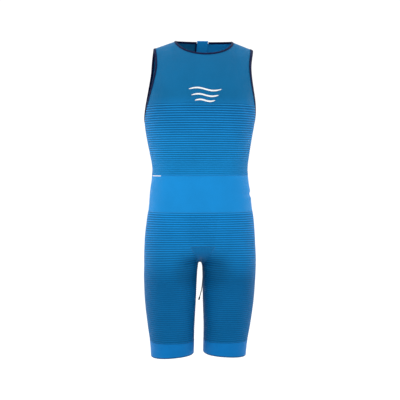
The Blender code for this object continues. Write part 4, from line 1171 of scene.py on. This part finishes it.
class SWIMSKIN_OT_zip(bpy.types.Operator):
    """Make the zip: two woven tapes, two rows of teeth and the guard behind them."""
    bl_idname = "swimskin.zip"
    bl_label = "Zip, tapes and guard"

    def execute(self, context):
        sizes = context.scene.swimskin_sizes
        rows = ZIP_ROWS
        for side in (LEFT, RIGHT):
            def place(i, j, side=side):
                x = side * mix(SEAM, TAPE_REACH, i / 5)
                ribs = mix(-1.0, ZIP_FOOT, j / rows)
                return back_point(x, ribs, TAPE_OUT), x, ribs * CHEST_RIB_PITCH, None

            bm = bmesh.new()
            bent_grid(bm, 5, rows, place)
            weld_and_face(bm, (0.0, 0.0, -0.05))
            tape = add_piece("zip_tape_weave_" + SIDE_NAMES[side], bm, look(zip_cloth),
                             ["zip_tape_" + SIDE_NAMES[side]], wall=TAPE_THICKNESS)

        spine = [spot for spot, _, _ in zip_line(60)]
        length = sum((q - p).length for p, q in zip(spine, spine[1:]))
        count = round(length / sizes.tooth_pitch * 2)
        teeth = zip_line(count)
        bm = bmesh.new()
        for first in range(0, count - 1, TEETH_IN_PART):
            row = bmesh.new()
            for k in range(first, min(first + TEETH_IN_PART, count - 1)):
                spot, down, out = teeth[k]
                side = LEFT if k % 2 else RIGHT
                frame = frame_matrix(spot + SIDEWAYS * side * 0.0014 - out * 0.0004, SIDEWAYS,
                                     down, SIDEWAYS.cross(down))
                add_box(row, frame, (TOOTH[0], sizes.tooth_pitch * TOOTH[1], TOOTH[2]),
                        bevel=0.00022)
            pour(row, bm)
        spot, down, out = teeth[-1]
        frame = frame_matrix(spot - down * 0.0012, SIDEWAYS, down, SIDEWAYS.cross(down))
        add_box(bm, frame, (0.0072, 0.0040, 0.0022), bevel=0.0005)
        add_piece("zip_teeth", bm, look(zip_plastic), ["zip_chain"], smooth=False)

        fold_steps, flap_rows, across = 10, 12, 12
        radius = (FLAP_OUT - GUARD_OUT) / 2
        xs = [mix(-GUARD_HALF_WIDTH, GUARD_HALF_WIDTH, i / across) for i in range(across + 1)]
        heads = []
        for x in xs:
            inner, outer = back_point(x, -1.0, GUARD_OUT), back_point(x, -1.0, FLAP_OUT)
            heads.append((inner, outer,
                          (outer - back_point(x, NAPE_ROW, FLAP_OUT)).normalized()))

        def guard(i, j):
            inner, outer, upward = heads[i]
            down = (rows - j) * GUARD_ROW
            if j < rows:
                point = back_point(xs[i], mix(ZIP_FOOT, -1.0, j / rows), GUARD_OUT)
            elif j <= rows + fold_steps:
                turn = pi * (j - rows) / fold_steps
                point = (mix(inner, outer, (1 - cos(turn)) / 2)
                         + upward * (GUARD_RISE - radius + radius * sin(turn)))
            else:
                share = (j - rows - fold_steps) / flap_rows
                point = outer + upward * mix(GUARD_RISE - radius, -GUARD_FLAP, share)
            return point, xs[i], down, None

        bm = bmesh.new()
        bent_grid(bm, across, rows + fold_steps + flap_rows, guard)
        bmesh.ops.recalc_face_normals(bm, faces=bm.faces)
        bm.faces.ensure_lookup_table()
        flap = max(bm.faces, key=lambda face: face.calc_center_median().z)
        if flap.normal.z < 0.0:
            bmesh.ops.reverse_faces(bm, faces=bm.faces)
        strip = add_piece("zip_guard_knit", bm, look(plain_knit), ["zip_guard"],
                          wall=GUARD_THICKNESS)

        def guard_shadow_strip(i, j):                       # painted shadow: a navy strip down the guard's left edge, inside
            x = -GUARD_HALF_WIDTH - mix(0.0005, 0.0047, i / 3)
            ribs = mix(-0.995, CHEST_RIBS - 0.3, j / rows)
            return back_point(x, ribs, GUARD_OUT), x, ribs * CHEST_RIB_PITCH, None

        bm = bmesh.new()
        bent_grid(bm, 3, rows, guard_shadow_strip)
        weld_and_face(bm, (0.0, 0.0, -0.05))
        edge = add_piece("zip_guard_painted_shadow", bm, look(binding_tape), [], wall=0.0008)
        return {"FINISHED"}


class SWIMSKIN_OT_slider(bpy.types.Operator):
    """Cast the slider and its hinged pull tab with the socket for the cord."""
    bl_idname = "swimskin.slider"
    bl_label = "Slider and pull tab"

    def execute(self, context):
        top = SEAM + SLIDER_THICKNESS
        base = frame_matrix(PIN - ZIP_OUT * (top + PIN_OUT) - ZIP_UP * PIN_UP,
                            SIDEWAYS, ZIP_OUT, ZIP_UP)
        bm = bmesh.new()
        add_box(bm, base @ Matrix.Translation((0.0, SEAM + SLIDER_THICKNESS / 2, 0.0)),
                (0.0086, SLIDER_THICKNESS, 0.0118), bevel=0.0007)
        wide = base.inverted()
        for vert in bm.verts:                   # broad at the shoulders, narrow at the foot
            local = wide @ vert.co
            local.x *= 1.0 + 0.14 * max(local.z, -0.0060) / 0.0060
            vert.co = base @ local
        for side in (LEFT, RIGHT):
            add_box(bm, base @ Matrix.Translation((side * EAR_X, top + 0.0014, PIN_UP)),
                    (0.0011, 0.0034, 0.0024), bevel=0.0003)
        across = Matrix.Rotation(pi / 2, 4, "Y")
        add_rod(bm, base @ Matrix.Translation((0.0, top + PIN_OUT, PIN_UP)) @ across, 0.00045,
                0.0058, sides=16, bevel=0.0001)
        add_box(bm, base @ Matrix.Translation((0.0, top + 0.0001, 0.0032)),
                (0.0030, 0.0007, 0.0030), bevel=0.0003)
        add_piece("slider_casting", bm, look(zip_metal), ["zip_slider"])

        c, s = cos(TAB_LEAN), sin(TAB_LEAN)
        tab_up, tab_out = ZIP_UP * c + ZIP_OUT * s, ZIP_OUT * c - ZIP_UP * s
        base = frame_matrix(PIN, SIDEWAYS, tab_out, tab_up)
        bm = bmesh.new()
        add_box(bm, base @ Matrix.Translation((0.0, 0.0, -0.0145)),
                (TAB_WIDTH, TAB_THICKNESS, 0.0180), bevel=0.0005)
        for side in (LEFT, RIGHT):              # raised rails of the grip
            add_box(bm, base @ Matrix.Translation((side * 0.0027, 0.0, -0.0145)),
                    (0.0011, 0.0019, 0.0170), bevel=0.0004)
        for k in range(5):
            add_box(bm, base @ Matrix.Translation((0.0, 0.0, -0.0095 - 0.0025 * k)),
                    (0.0046, 0.0017, 0.0009), bevel=0.0003)
        add_box(bm, base @ Matrix.Translation((0.0, 0.0, -0.0040)),
                (0.0028, TAB_THICKNESS, 0.0056), bevel=0.0004)
        add_rod(bm, base @ across, 0.00125, 0.0030, sides=24, bevel=0.0003)
        add_rod(bm, base @ Matrix.Translation((0.0, 0.0, -0.0261)), 0.0021, 0.0058, sides=24,
                bevel=0.0005)
        add_piece("pull_tab_casting", bm, look(zip_metal), ["pull_tab"], body="tab")
        return {"FINISHED"}


# ---------------------------------------------------------------- cloth

HALF_COLUMNS = 42         # across half a front or back; 28 of them end at the neckline
YOKE_ROWS = 36
LEG_COLUMNS = 28
BELLY_COLUMNS = 5         # more, from the gusset's corner to the middle of the belly


def add_half_panel(bm, face, side, rows_per_rib):
    def place(i, j):
        ribs = j / YOKE_ROWS - 1.0 if j < YOKE_ROWS else (j - YOKE_ROWS) / rows_per_rib
        reach = i / HALF_COLUMNS
        point = upper_point(face, side, reach, ribs)
        return point, side * reach * 0.20, -point.z, ribs

    bent_grid(bm, HALF_COLUMNS, YOKE_ROWS + CHEST_RIBS * rows_per_rib, place)


class SWIMSKIN_OT_upper_panels(bpy.types.Operator):
    """Knit the front panel and the two back panels, plain in the yoke and ribbed below it."""
    bl_idname = "swimskin.upper_panels"
    bl_label = "Front and back panels"

    def execute(self, context):
        sizes = context.scene.swimskin_sizes
        for name, face, sides, flat, area in (
                ("front_panel", FRONT, (LEFT, RIGHT), (0.40, 0.385), 0.147),
                ("back_panel_left", BACK, (LEFT,), (0.20, 0.435), 0.075),
                ("back_panel_right", BACK, (RIGHT,), (0.20, 0.435), 0.075)):
            bm = bmesh.new()
            for side in sides:
                add_half_panel(bm, face, side, sizes.rows_per_rib)
            weld_and_face(bm, (0.0, 0.0, -0.2))
            raise_cloth(bm, sizes.rib_height, sizes.crease_amount)
            # painted light: the right back panel's inside takes the brighter smooth knit, where more light
            # falls inside the back
            painted_light_lining = look(plain_knit) if name == "back_panel_right" else None
            panel = add_piece(name + "_knit", bm, look(ribbed_knit), [name],
                              wall=WALL, painted_light_lining=painted_light_lining)
        return {"FINISHED"}


class SWIMSKIN_OT_waist_band(bpy.types.Operator):
    """Knit the plain tube between the ribbed chest and the ribbed shorts."""
    bl_idname = "swimskin.waist_band"
    bl_label = "Waist band"

    def execute(self, context):
        columns, rows = 144, 26

        def place(i, j):
            z = mix(BAND_TOP_Z, BAND_BOTTOM_Z, j / rows)
            return trunk_point(2 * pi * i / columns, z), 0.92 * i / columns, -z, None

        bm = bmesh.new()
        bent_grid(bm, columns, rows, place)
        weld_and_face(bm, (0.0, 0.0, BAND_TOP_Z))
        raise_cloth(bm, 0.0, context.scene.swimskin_sizes.crease_amount)
        band = add_piece("waist_band_knit", bm, look(plain_knit), ["waist_band"],
                         wall=WALL)
        return {"FINISHED"}


def add_half_shorts(bm, face, side, rows_per_rib):
    def belly(i, j):
        across = i / LEG_COLUMNS if i <= LEG_COLUMNS else 1 + (i - LEG_COLUMNS) / BELLY_COLUMNS
        ribs = j / rows_per_rib
        point = shorts_point(face, side, across, shorts_height(ribs))
        return point, side * across * 0.20, -point.z, ribs

    def leg(i, j):
        ribs = BELLY_RIBS + j / rows_per_rib
        point = shorts_point(face, side, i / LEG_COLUMNS, shorts_height(ribs))
        return point, side * i / LEG_COLUMNS * 0.20, -point.z, ribs

    bent_grid(bm, LEG_COLUMNS + BELLY_COLUMNS, BELLY_RIBS * rows_per_rib, belly)
    bent_grid(bm, LEG_COLUMNS, (GUSSET_RIBS + THIGH_RIBS) * rows_per_rib, leg)


class SWIMSKIN_OT_shorts(bpy.types.Operator):
    """Knit the ribbed shorts: one front and two backs."""
    bl_idname = "swimskin.shorts"
    bl_label = "Ribbed shorts"

    def execute(self, context):
        sizes = context.scene.swimskin_sizes
        for name, face, sides, flat, area in (
                ("shorts_front", FRONT, (LEFT, RIGHT), (0.54, 0.38), 0.184),
                ("shorts_back_left", BACK, (LEFT,), (0.285, 0.38), 0.0965),
                ("shorts_back_right", BACK, (RIGHT,), (0.285, 0.38), 0.0965)):
            bm = bmesh.new()
            for side in sides:
                add_half_shorts(bm, face, side, sizes.rows_per_rib)
            weld_and_face(bm, (0.0, 0.0, BAND_BOTTOM_Z))
            raise_cloth(bm, sizes.rib_height, sizes.crease_amount)
            panel = add_piece(name + "_knit", bm, look(ribbed_knit), [name],
                              wall=WALL)
        return {"FINISHED"}


class SWIMSKIN_OT_gusset(bpy.types.Operator):
    """Let the openwork gusset in between the legs."""
    bl_idname = "swimskin.gusset"
    bl_label = "Crotch gusset"

    def execute(self, context):
        columns, rows = 20, 60

        def place(i, j):
            face = FRONT if j <= rows / 2 else BACK
            down = min(j, rows - j) / (rows / 2)
            point = gusset_point(face, 2 * i / columns - 1.0, down)
            return point, point.x, j * 0.0032, None

        bm = bmesh.new()
        bent_grid(bm, columns, rows, place)
        weld_and_face(bm, (0.0, 0.0, GUSSET_TOP_Z))
        gusset = add_piece("crotch_gusset_knit", bm, look(mesh_knit), ["crotch_gusset"],
                           wall=WALL)
        return {"FINISHED"}


HEM_FOLD = 0.0012         # radius of the turned hem
HEM_TURN_UP = 0.014
HEM_WALL = 0.0010


class SWIMSKIN_OT_hem_bands(bpy.types.Operator):
    """Knit the two plain bands that close the legs, each with a turned hem."""
    bl_idname = "swimskin.hem_bands"
    bl_label = "Hem bands"

    def execute(self, context):
        columns, rows, fold_rows, inner_rows = 96, 14, 5, 4
        for side in (LEFT, RIGHT):
            def place(i, j, side=side):
                angle = pi / 2 + 2 * pi * i / columns
                foot = HEM_Z - HEM_TILT * sin(angle) + HEM_FOLD
                z, inward = foot, 0.0
                if j <= rows:
                    z = mix(HEM_BAND_TOP_Z, foot, j / rows)
                elif j <= rows + fold_rows:
                    turn = pi * (j - rows) / fold_rows
                    z, inward = foot - HEM_FOLD * sin(turn), HEM_FOLD * (1 - cos(turn))
                else:
                    z = foot + HEM_TURN_UP * (j - rows - fold_rows) / inner_rows
                    inward = 2 * HEM_FOLD
                point = leg_point(side, angle, z)
                centre = (leg_point(side, 0.0, z) + leg_point(side, pi, z)) / 2
                centre.x = (leg_point(side, pi / 2, z).x + leg_point(side, -pi / 2, z).x) / 2
                point += (centre - point).normalized() * inward
                # the fold's rows, marked for painted shade in the material
                turned = 1.0 if rows <= j <= rows + fold_rows else None
                return point, 0.40 * i / columns, -z, turned

            bm = bmesh.new()
            bent_grid(bm, columns, rows + fold_rows + inner_rows, place)
            middle = (leg_point(side, 0.0, HEM_BAND_TOP_Z)
                      + leg_point(side, pi, HEM_BAND_TOP_Z)) / 2
            weld_and_face(bm, middle)
            band = add_piece("hem_band_knit_" + SIDE_NAMES[side], bm, look(plain_knit),
                             ["hem_band_" + SIDE_NAMES[side]], wall=HEM_WALL)
        return {"FINISHED"}


# ---------------------------------------------------------------- bindings

# how far each binding laps over the cloth
BINDING_OVERLAPS = {"neck_binding": 0.0010, "armhole_binding_left": 0.0014,
                    "armhole_binding_right": 0.0042}
BINDING_PROUD = 0.0011    # clears the crests of the ribs
BINDING_TAPE = 0.0005
BINDING_COLUMNS = 14


def neck_places():
    """Places along the neck's edge, from one side of the zip guard round to its other side."""
    steps = 56
    first = next(k for k in range(steps)
                 if mix(ZIP_HALF_SLOT, NECK_HALF_WIDTH, sin(k / steps * pi / 2))
                 > GUARD_HALF_WIDTH + 0.0008)
    quarter = [NECK_REACH * k / steps for k in range(steps + 1)]
    return ([(BACK, LEFT, r, -1.0) for r in quarter[first:]]
            + [(FRONT, LEFT, r, -1.0) for r in quarter[-2::-1]]
            + [(FRONT, RIGHT, r, -1.0) for r in quarter[1:]]
            + [(BACK, RIGHT, r, -1.0) for r in quarter[-2:first - 1:-1]])


def armhole_places(side):
    """Places round an armhole, down its front edge and up its back edge."""
    yoke = [k / 28 - 1.0 for k in range(28)]
    chest = [ARMHOLE_RIBS * sin(k / 40 * pi / 2) for k in range(41)]
    ribs = yoke + chest
    return ([(FRONT, side, 1.0, r) for r in ribs] + [(BACK, side, 1.0, r) for r in ribs[-2:0:-1]])


def binding_mesh(frames, closed, width, overlap):
    """A tape folded round a cloth edge, open towards the cloth."""
    half = WALL / 2 + BINDING_PROUD
    straight = width - half + overlap
    profile = 2 * straight + pi * half
    count = len(frames)
    lengths = [0.0]
    for one, other in zip(frames, frames[1:] + frames[:1]):
        lengths.append(lengths[-1] + (other.point - one.point).length)

    def place(i, j):
        frame = frames[j % count]
        along = profile * i / BINDING_COLUMNS
        if along < straight:
            a, b = along - overlap, half
        elif along > straight + pi * half:
            a, b = profile - along - overlap, -half
        else:
            turn = (along - straight) / half
            a, b = straight - overlap + half * sin(turn), half * cos(turn)
        snug = 0.0004 * max(1.0 - (a + overlap) / 0.0012, 0.0)    # lips lie on the cloth
        b -= snug if b > 0.0 else -snug
        point = frame.point + frame.beyond * a + frame.normal * (b - WALL / 2)
        return point, along, lengths[j], None

    bm = bmesh.new()
    bent_grid(bm, BINDING_COLUMNS, count if closed else count - 1, place)
    bm.verts.ensure_lookup_table()
    middle = frames[0].point + frames[0].beyond * width / 2 - frames[0].normal * WALL / 2
    weld_and_face(bm, middle)
    return bm, lengths[-1 if closed else -2], profile


class SWIMSKIN_OT_bindings(bpy.types.Operator):
    """Fold elastic tape round the neck's edge and both armholes."""
    bl_idname = "swimskin.bindings"
    bl_label = "Neck and armhole bindings"

    def execute(self, context):
        width = context.scene.swimskin_sizes.binding_width

        def below(place):
            return place[:3] + (place[3] + 0.05,)

        def inside(place):
            return place[:2] + (place[2] - 0.03, place[3])

        edges = [("neck_binding", edge_frames(neck_places(), below, False), False)]
        edges += [("armhole_binding_" + SIDE_NAMES[side],
                   edge_frames(armhole_places(side), inside, True), True)
                  for side in (LEFT, RIGHT)]
        for name, frames, closed in edges:
            overlap = BINDING_OVERLAPS[name]
            bm, length, profile = binding_mesh(frames, closed, width, overlap)
            tape = add_piece(name + "_tape", bm, look(binding_tape), [name],
                             wall=BINDING_TAPE)
        return {"FINISHED"}


# ---------------------------------------------------------------- sewing and print

RING_STEPS = 144
STITCH_OFF = 0.0016       # of each of the two rows from the seam
STITCH_PROUD = 0.0002
STITCH_SHARE = 0.72       # of the pitch that is thread
STITCH_WIDTH, ZIP_STITCH_WIDTH = 0.00042, 0.0004
ZIP_STITCH_X = 0.0078


def ring_seam(point_at, z, centre, tilt=0.0):
    """The seam round a tube at a height, with normals away from its centre."""
    points, normals = [], []
    for k in range(RING_STEPS + 1):
        angle = 2 * pi * k / RING_STEPS
        across = point_at(angle + 0.01, z) - point_at(angle - 0.01, z)
        down = point_at(angle, z - 0.001) - point_at(angle, z + 0.001)
        normal = across.cross(down).normalized()
        point = point_at(angle, z - tilt * sin(angle))
        if normal.dot(point - centre) < 0.0:
            normal = -normal
        points.append(point)
        normals.append(normal)
    return points, normals


def shorts_edge(face, side, across, first, last, count, away):
    """A seam down the shorts between two rib counts."""
    points = [shorts_point(face, side, across, shorts_height(mix(first, last, k / count)))
              for k in range(count + 1)]
    normals = []
    for k, point in enumerate(points):
        along = points[min(k + 1, count)] - points[max(k - 1, 0)]
        other = shorts_point(face, side, max(across - 0.02, 0.0) if across > 0.5 else 0.02,
                             point.z)
        normal = along.cross(other - point).normalized()
        normals.append(normal if normal.dot(away) > 0.0 else -normal)
    return points, normals


def all_seams():
    """Every flat seam of the suit as (points, normals)."""
    seams = []
    for side in (LEFT, RIGHT):
        out = SIDEWAYS * side
        count = 90
        ribs = [mix(ARMHOLE_RIBS + 0.2, CHEST_RIBS, k / count) for k in range(count + 1)]
        seams.append(([chest_point(FRONT, side, 1.0, chest_height(r)) for r in ribs],
                      smoothed([upper_normal(FRONT, side, 1.0, r) for r in ribs], 3, False)))
        reaches = [mix(NECK_REACH, 1.0, 0.1 + 0.82 * k / 20) for k in range(21)]
        seams.append(([upper_point(FRONT, side, r, -1.0) for r in reaches],
                      [upper_normal(FRONT, side, r, -0.999) for r in reaches]))
        total = BELLY_RIBS + GUSSET_RIBS + THIGH_RIBS
        seams.append(shorts_edge(FRONT, side, 0.0, 0.0, total, 150, out))
        seams.append(shorts_edge(FRONT, side, 1.0, BELLY_RIBS + GUSSET_RIBS, total, 80, -out))
        for face in (FRONT, BACK):
            seams.append(shorts_edge(face, side, 1.0, BELLY_RIBS, BELLY_RIBS + GUSSET_RIBS, 50,
                                     Vector((0.0, face, -0.2))))

        def leg(angle, z, side=side):
            return leg_point(side, angle, z)

        middle = (leg(0.0, HEM_BAND_TOP_Z) + leg(pi, HEM_BAND_TOP_Z)) / 2
        seams.append(ring_seam(leg, HEM_BAND_TOP_Z, middle))
        seams.append(ring_seam(leg, HEM_Z + HEM_TURN_UP, middle, HEM_TILT))
    for z in (BAND_TOP_Z, BAND_BOTTOM_Z):
        seams.append(ring_seam(trunk_point, z, Vector((0.0, 0.0, z))))
    for face in (FRONT, BACK):
        points = [gusset_point(face, u / 10 - 1.0, 0.0) for u in range(21)]
        seams.append((points, [Vector((0.0, face, 0.0))] * 21))
    middle = [lower_point(BACK, RIGHT, 1.0, mix(BAND_BOTTOM_Z, GUSSET_TOP_Z, k / 30))
              for k in range(31)]
    seams.append((middle, [Vector((0.0, BACK, 0.0))] * 31))
    return seams


class SWIMSKIN_OT_sewing(bpy.types.Operator):
    """Sew the flat seams and the rows beside the zip."""
    bl_idname = "swimskin.sewing"
    bl_label = "Flatlock sewing"

    def execute(self, context):
        pitch = context.scene.swimskin_sizes.stitch_pitch
        bm = bmesh.new()
        for points, normals in all_seams():
            for off in (-STITCH_OFF, STITCH_OFF):
                line = []
                for k, (point, normal) in enumerate(zip(points, normals)):
                    along = points[min(k + 1, len(points) - 1)] - points[max(k - 1, 0)]
                    across = normal.cross(along).normalized()
                    line.append(point + across * off + normal * STITCH_PROUD)
                add_stitches(bm, line, normals, pitch * STITCH_SHARE, STITCH_WIDTH, pitch,
                             slant=0.25)
        add_piece("seam_thread", bm, look(sewing_thread), [], smooth=False)

        bm = bmesh.new()
        for side in (LEFT, RIGHT):
            ribs = [mix(-0.55, CHEST_RIBS - 0.4, k / 160) for k in range(161)]
            line = [back_point(side * ZIP_STITCH_X, r, STITCH_PROUD) for r in ribs]
            add_stitches(bm, line, [upper_normal(BACK, side, 0.02, r) for r in ribs],
                         pitch * STITCH_SHARE, ZIP_STITCH_WIDTH, pitch)
        add_piece("zip_thread", bm, look(sewing_thread), [], smooth=False)
        return {"FINISHED"}


WAVE_STROKES = (         # (x of its left end, x of its right end, z, height of its swell)
    (-0.044, 0.050, -0.152, 0.0042),
    (-0.036, 0.042, -0.169, 0.0034),
    (-0.026, 0.032, -0.184, 0.0026),
)
STROKE_WIDTH = 0.0044
DASH = (-0.1405, -0.1185, -0.3985, 0.0022)


def front_surface(x, z, out):
    """Point above the front's outer face."""
    point = upper_surface(FRONT, x, z)
    beside, above = upper_surface(FRONT, x + 0.002, z), upper_surface(FRONT, x, z + 0.002)
    return point + (beside - point).cross(above - point).normalized() * out


class SWIMSKIN_OT_print(bpy.types.Operator):
    """Print three plain wave strokes on the chest and a dash at the side."""
    bl_idname = "swimskin.print"
    bl_label = "Plain print"

    def execute(self, context):
        out = context.scene.swimskin_sizes.rib_height + 0.0003
        bm = bmesh.new()
        for left, right, z, swell in WAVE_STROKES:
            def place(i, j, left=left, right=right, z=z, swell=swell):
                share = i / 60
                x = mix(left, right, share)
                taper = sqrt(max(1.0 - abs(2 * share - 1.0)**4, 0.0))
                height = z + swell * sin(2 * pi * share) + STROKE_WIDTH * taper * (0.5 - j / 4)
                return front_surface(x, height, out), x, -height, None

            bent_grid(bm, 60, 4, place)
        weld_and_face(bm, (0.0, 0.0, -0.15))
        add_piece("chest_strokes", bm, look(print_ink), [], wall=0.00025)

        def dash(i, j):
            left, right, z, height = DASH
            x = mix(left, right, i / 12)
            z += height * (0.5 - j / 2)
            return front_surface(x, z, 0.0004), x, -z, None

        bm = bmesh.new()
        bent_grid(bm, 12, 2, dash)
        weld_and_face(bm, (0.0, 0.0, -0.39))
        add_piece("side_dash", bm, look(print_ink), [], wall=0.0002)
        return {"FINISHED"}


# ---------------------------------------------------------------- stage

FLOOR_Z = -1.50
FLOOR_RADIUS = 30.0
CAMERA_DISTANCE = 2.4
CAMERA_TURN = radians(-5.0)
CAMERA_Z = -0.367
CAMERA_LENS = 72.7
CAMERA_SHIFT = -0.0875
AIM = Vector((0.0, 0.0, -0.42))

# name, place, width, height, watts, colour
LAMPS = (
    ("key", (-1.3, -2.1, 0.9), 1.3, 1.3, 14.0, "FFFAF4"),
    ("fill", (1.9, -1.9, 0.1), 1.5, 1.8, 3.6, "F4F8FF"),
    ("rim_left", (-2.0, 1.1, -0.1), 0.8, 2.0, 9.0, "FFFFFF"),
    ("rim_right", (2.0, 1.1, -0.1), 0.8, 2.0, 6.0, "FFFFFF"),
)
WORLD_BACK, WORLD_FRONT, WORLD_TOP = 1.08, 0.55, 1.45


def light_world():
    """Pale surroundings, bright behind the suit and softer before it."""
    world = bpy.data.worlds.new("studio")
    world.use_nodes = True
    tree = world.node_tree
    background = tree.nodes["Background"]
    direction = add_node(tree, "ShaderNodeTexCoord").outputs["Generated"]
    axes = add_node(tree, "ShaderNodeSeparateXYZ", {0: direction}).outputs
    level = add_node(tree, "ShaderNodeMapRange",
                     {0: axes[1], 1: -0.3, 2: 0.6, 3: WORLD_FRONT, 4: WORLD_BACK},
                     interpolation_type="SMOOTHSTEP").outputs[0]
    strength = add_node(tree, "ShaderNodeMapRange",
                        {0: axes[2], 1: 0.35, 2: 0.75, 3: level, 4: WORLD_TOP},
                        interpolation_type="SMOOTHSTEP").outputs[0]
    background.inputs["Color"].default_value = (1.0, 1.0, 1.0, 1.0)
    tree.links.new(strength, background.inputs["Strength"])
    bpy.context.scene.world = world


def light_area(name, place, width, height, watts, colour):
    lamp = bpy.data.lights.new(name, "AREA")
    lamp.shape = "RECTANGLE"
    lamp.size, lamp.size_y = width, height
    lamp.energy = watts
    lamp.color = linear(colour)
    made = bpy.data.objects.new(name, lamp)
    made.location = place
    made.rotation_euler = (AIM - Vector(place)).to_track_quat("-Z", "Y").to_euler()
    bpy.context.scene.collection.objects.link(made)


class SWIMSKIN_OT_stage(bpy.types.Operator):
    """Set the camera, the soft studio lights and the pale floor."""
    bl_idname = "swimskin.stage"
    bl_label = "Camera, lights and floor"

    def execute(self, context):
        scene = context.scene
        data = bpy.data.cameras.new("camera")
        data.lens = CAMERA_LENS
        data.shift_y = CAMERA_SHIFT
        data.clip_end = 100.0
        camera = bpy.data.objects.new("camera", data)
        camera.location = (CAMERA_DISTANCE * sin(CAMERA_TURN),
                           -CAMERA_DISTANCE * cos(CAMERA_TURN), CAMERA_Z)
        camera.rotation_euler = (pi / 2, 0.0, CAMERA_TURN)
        scene.collection.objects.link(camera)
        scene.camera = camera
        scene.view_settings.view_transform = "Standard"
        light_world()
        for lamp in LAMPS:
            light_area(*lamp)

        bm = bmesh.new()
        bmesh.ops.create_circle(bm, cap_ends=True, cap_tris=False, segments=96,
                                radius=FLOOR_RADIUS)
        bmesh.ops.inset_region(bm, faces=bm.faces[:], thickness=FLOOR_RADIUS * 0.5)
        bmesh.ops.translate(bm, verts=bm.verts, vec=(0.0, 0.0, FLOOR_Z))
        mesh = bpy.data.meshes.new("floor")
        bm.to_mesh(mesh)
        bm.free()
        mesh.materials.append(look(floor_paper))
        floor = bpy.data.objects.new("floor", mesh)
        scene.collection.objects.link(floor)
        return {"FINISHED"}


# ---------------------------------------------------------------- add-on

OPERATORS = (
    SWIMSKIN_OT_stage,
    SWIMSKIN_OT_pull_cord,
    SWIMSKIN_OT_upper_panels,
    SWIMSKIN_OT_waist_band,
    SWIMSKIN_OT_shorts,
    SWIMSKIN_OT_gusset,
    SWIMSKIN_OT_hem_bands,
    SWIMSKIN_OT_bindings,
    SWIMSKIN_OT_zip,
    SWIMSKIN_OT_slider,
    SWIMSKIN_OT_sewing,
    SWIMSKIN_OT_print,
)


class SWIMSKIN_PT_panel(bpy.types.Panel):
    """Lists the suit's sizes, colours and the steps that build it."""
    bl_idname = "SWIMSKIN_PT_panel"
    bl_label = "Swimskin wetsuit"
    bl_space_type = "VIEW_3D"
    bl_region_type = "UI"
    bl_category = "Wetsuit"

    def draw(self, context):
        for settings in (context.scene.swimskin_sizes, context.scene.swimskin_colours):
            for name in settings.bl_rna.properties.keys():
                if name not in ("rna_type", "name"):
                    self.layout.prop(settings, name)
        for operator in OPERATORS:
            self.layout.operator(operator.bl_idname)


CLASSES = (SwimskinSizes, SwimskinColours, *OPERATORS, SWIMSKIN_PT_panel)


def register():
    for cls in CLASSES:
        bpy.utils.register_class(cls)
    bpy.types.Scene.swimskin_sizes = PointerProperty(type=SwimskinSizes)
    bpy.types.Scene.swimskin_colours = PointerProperty(type=SwimskinColours)


def unregister():
    del bpy.types.Scene.swimskin_colours
    del bpy.types.Scene.swimskin_sizes
    for cls in reversed(CLASSES):
        bpy.utils.unregister_class(cls)


def main():
    register()
    for operator in OPERATORS:
        group, name = operator.bl_idname.split(".")
        getattr(getattr(bpy.ops, group), name)()


if __name__ == "__main__":
    main()
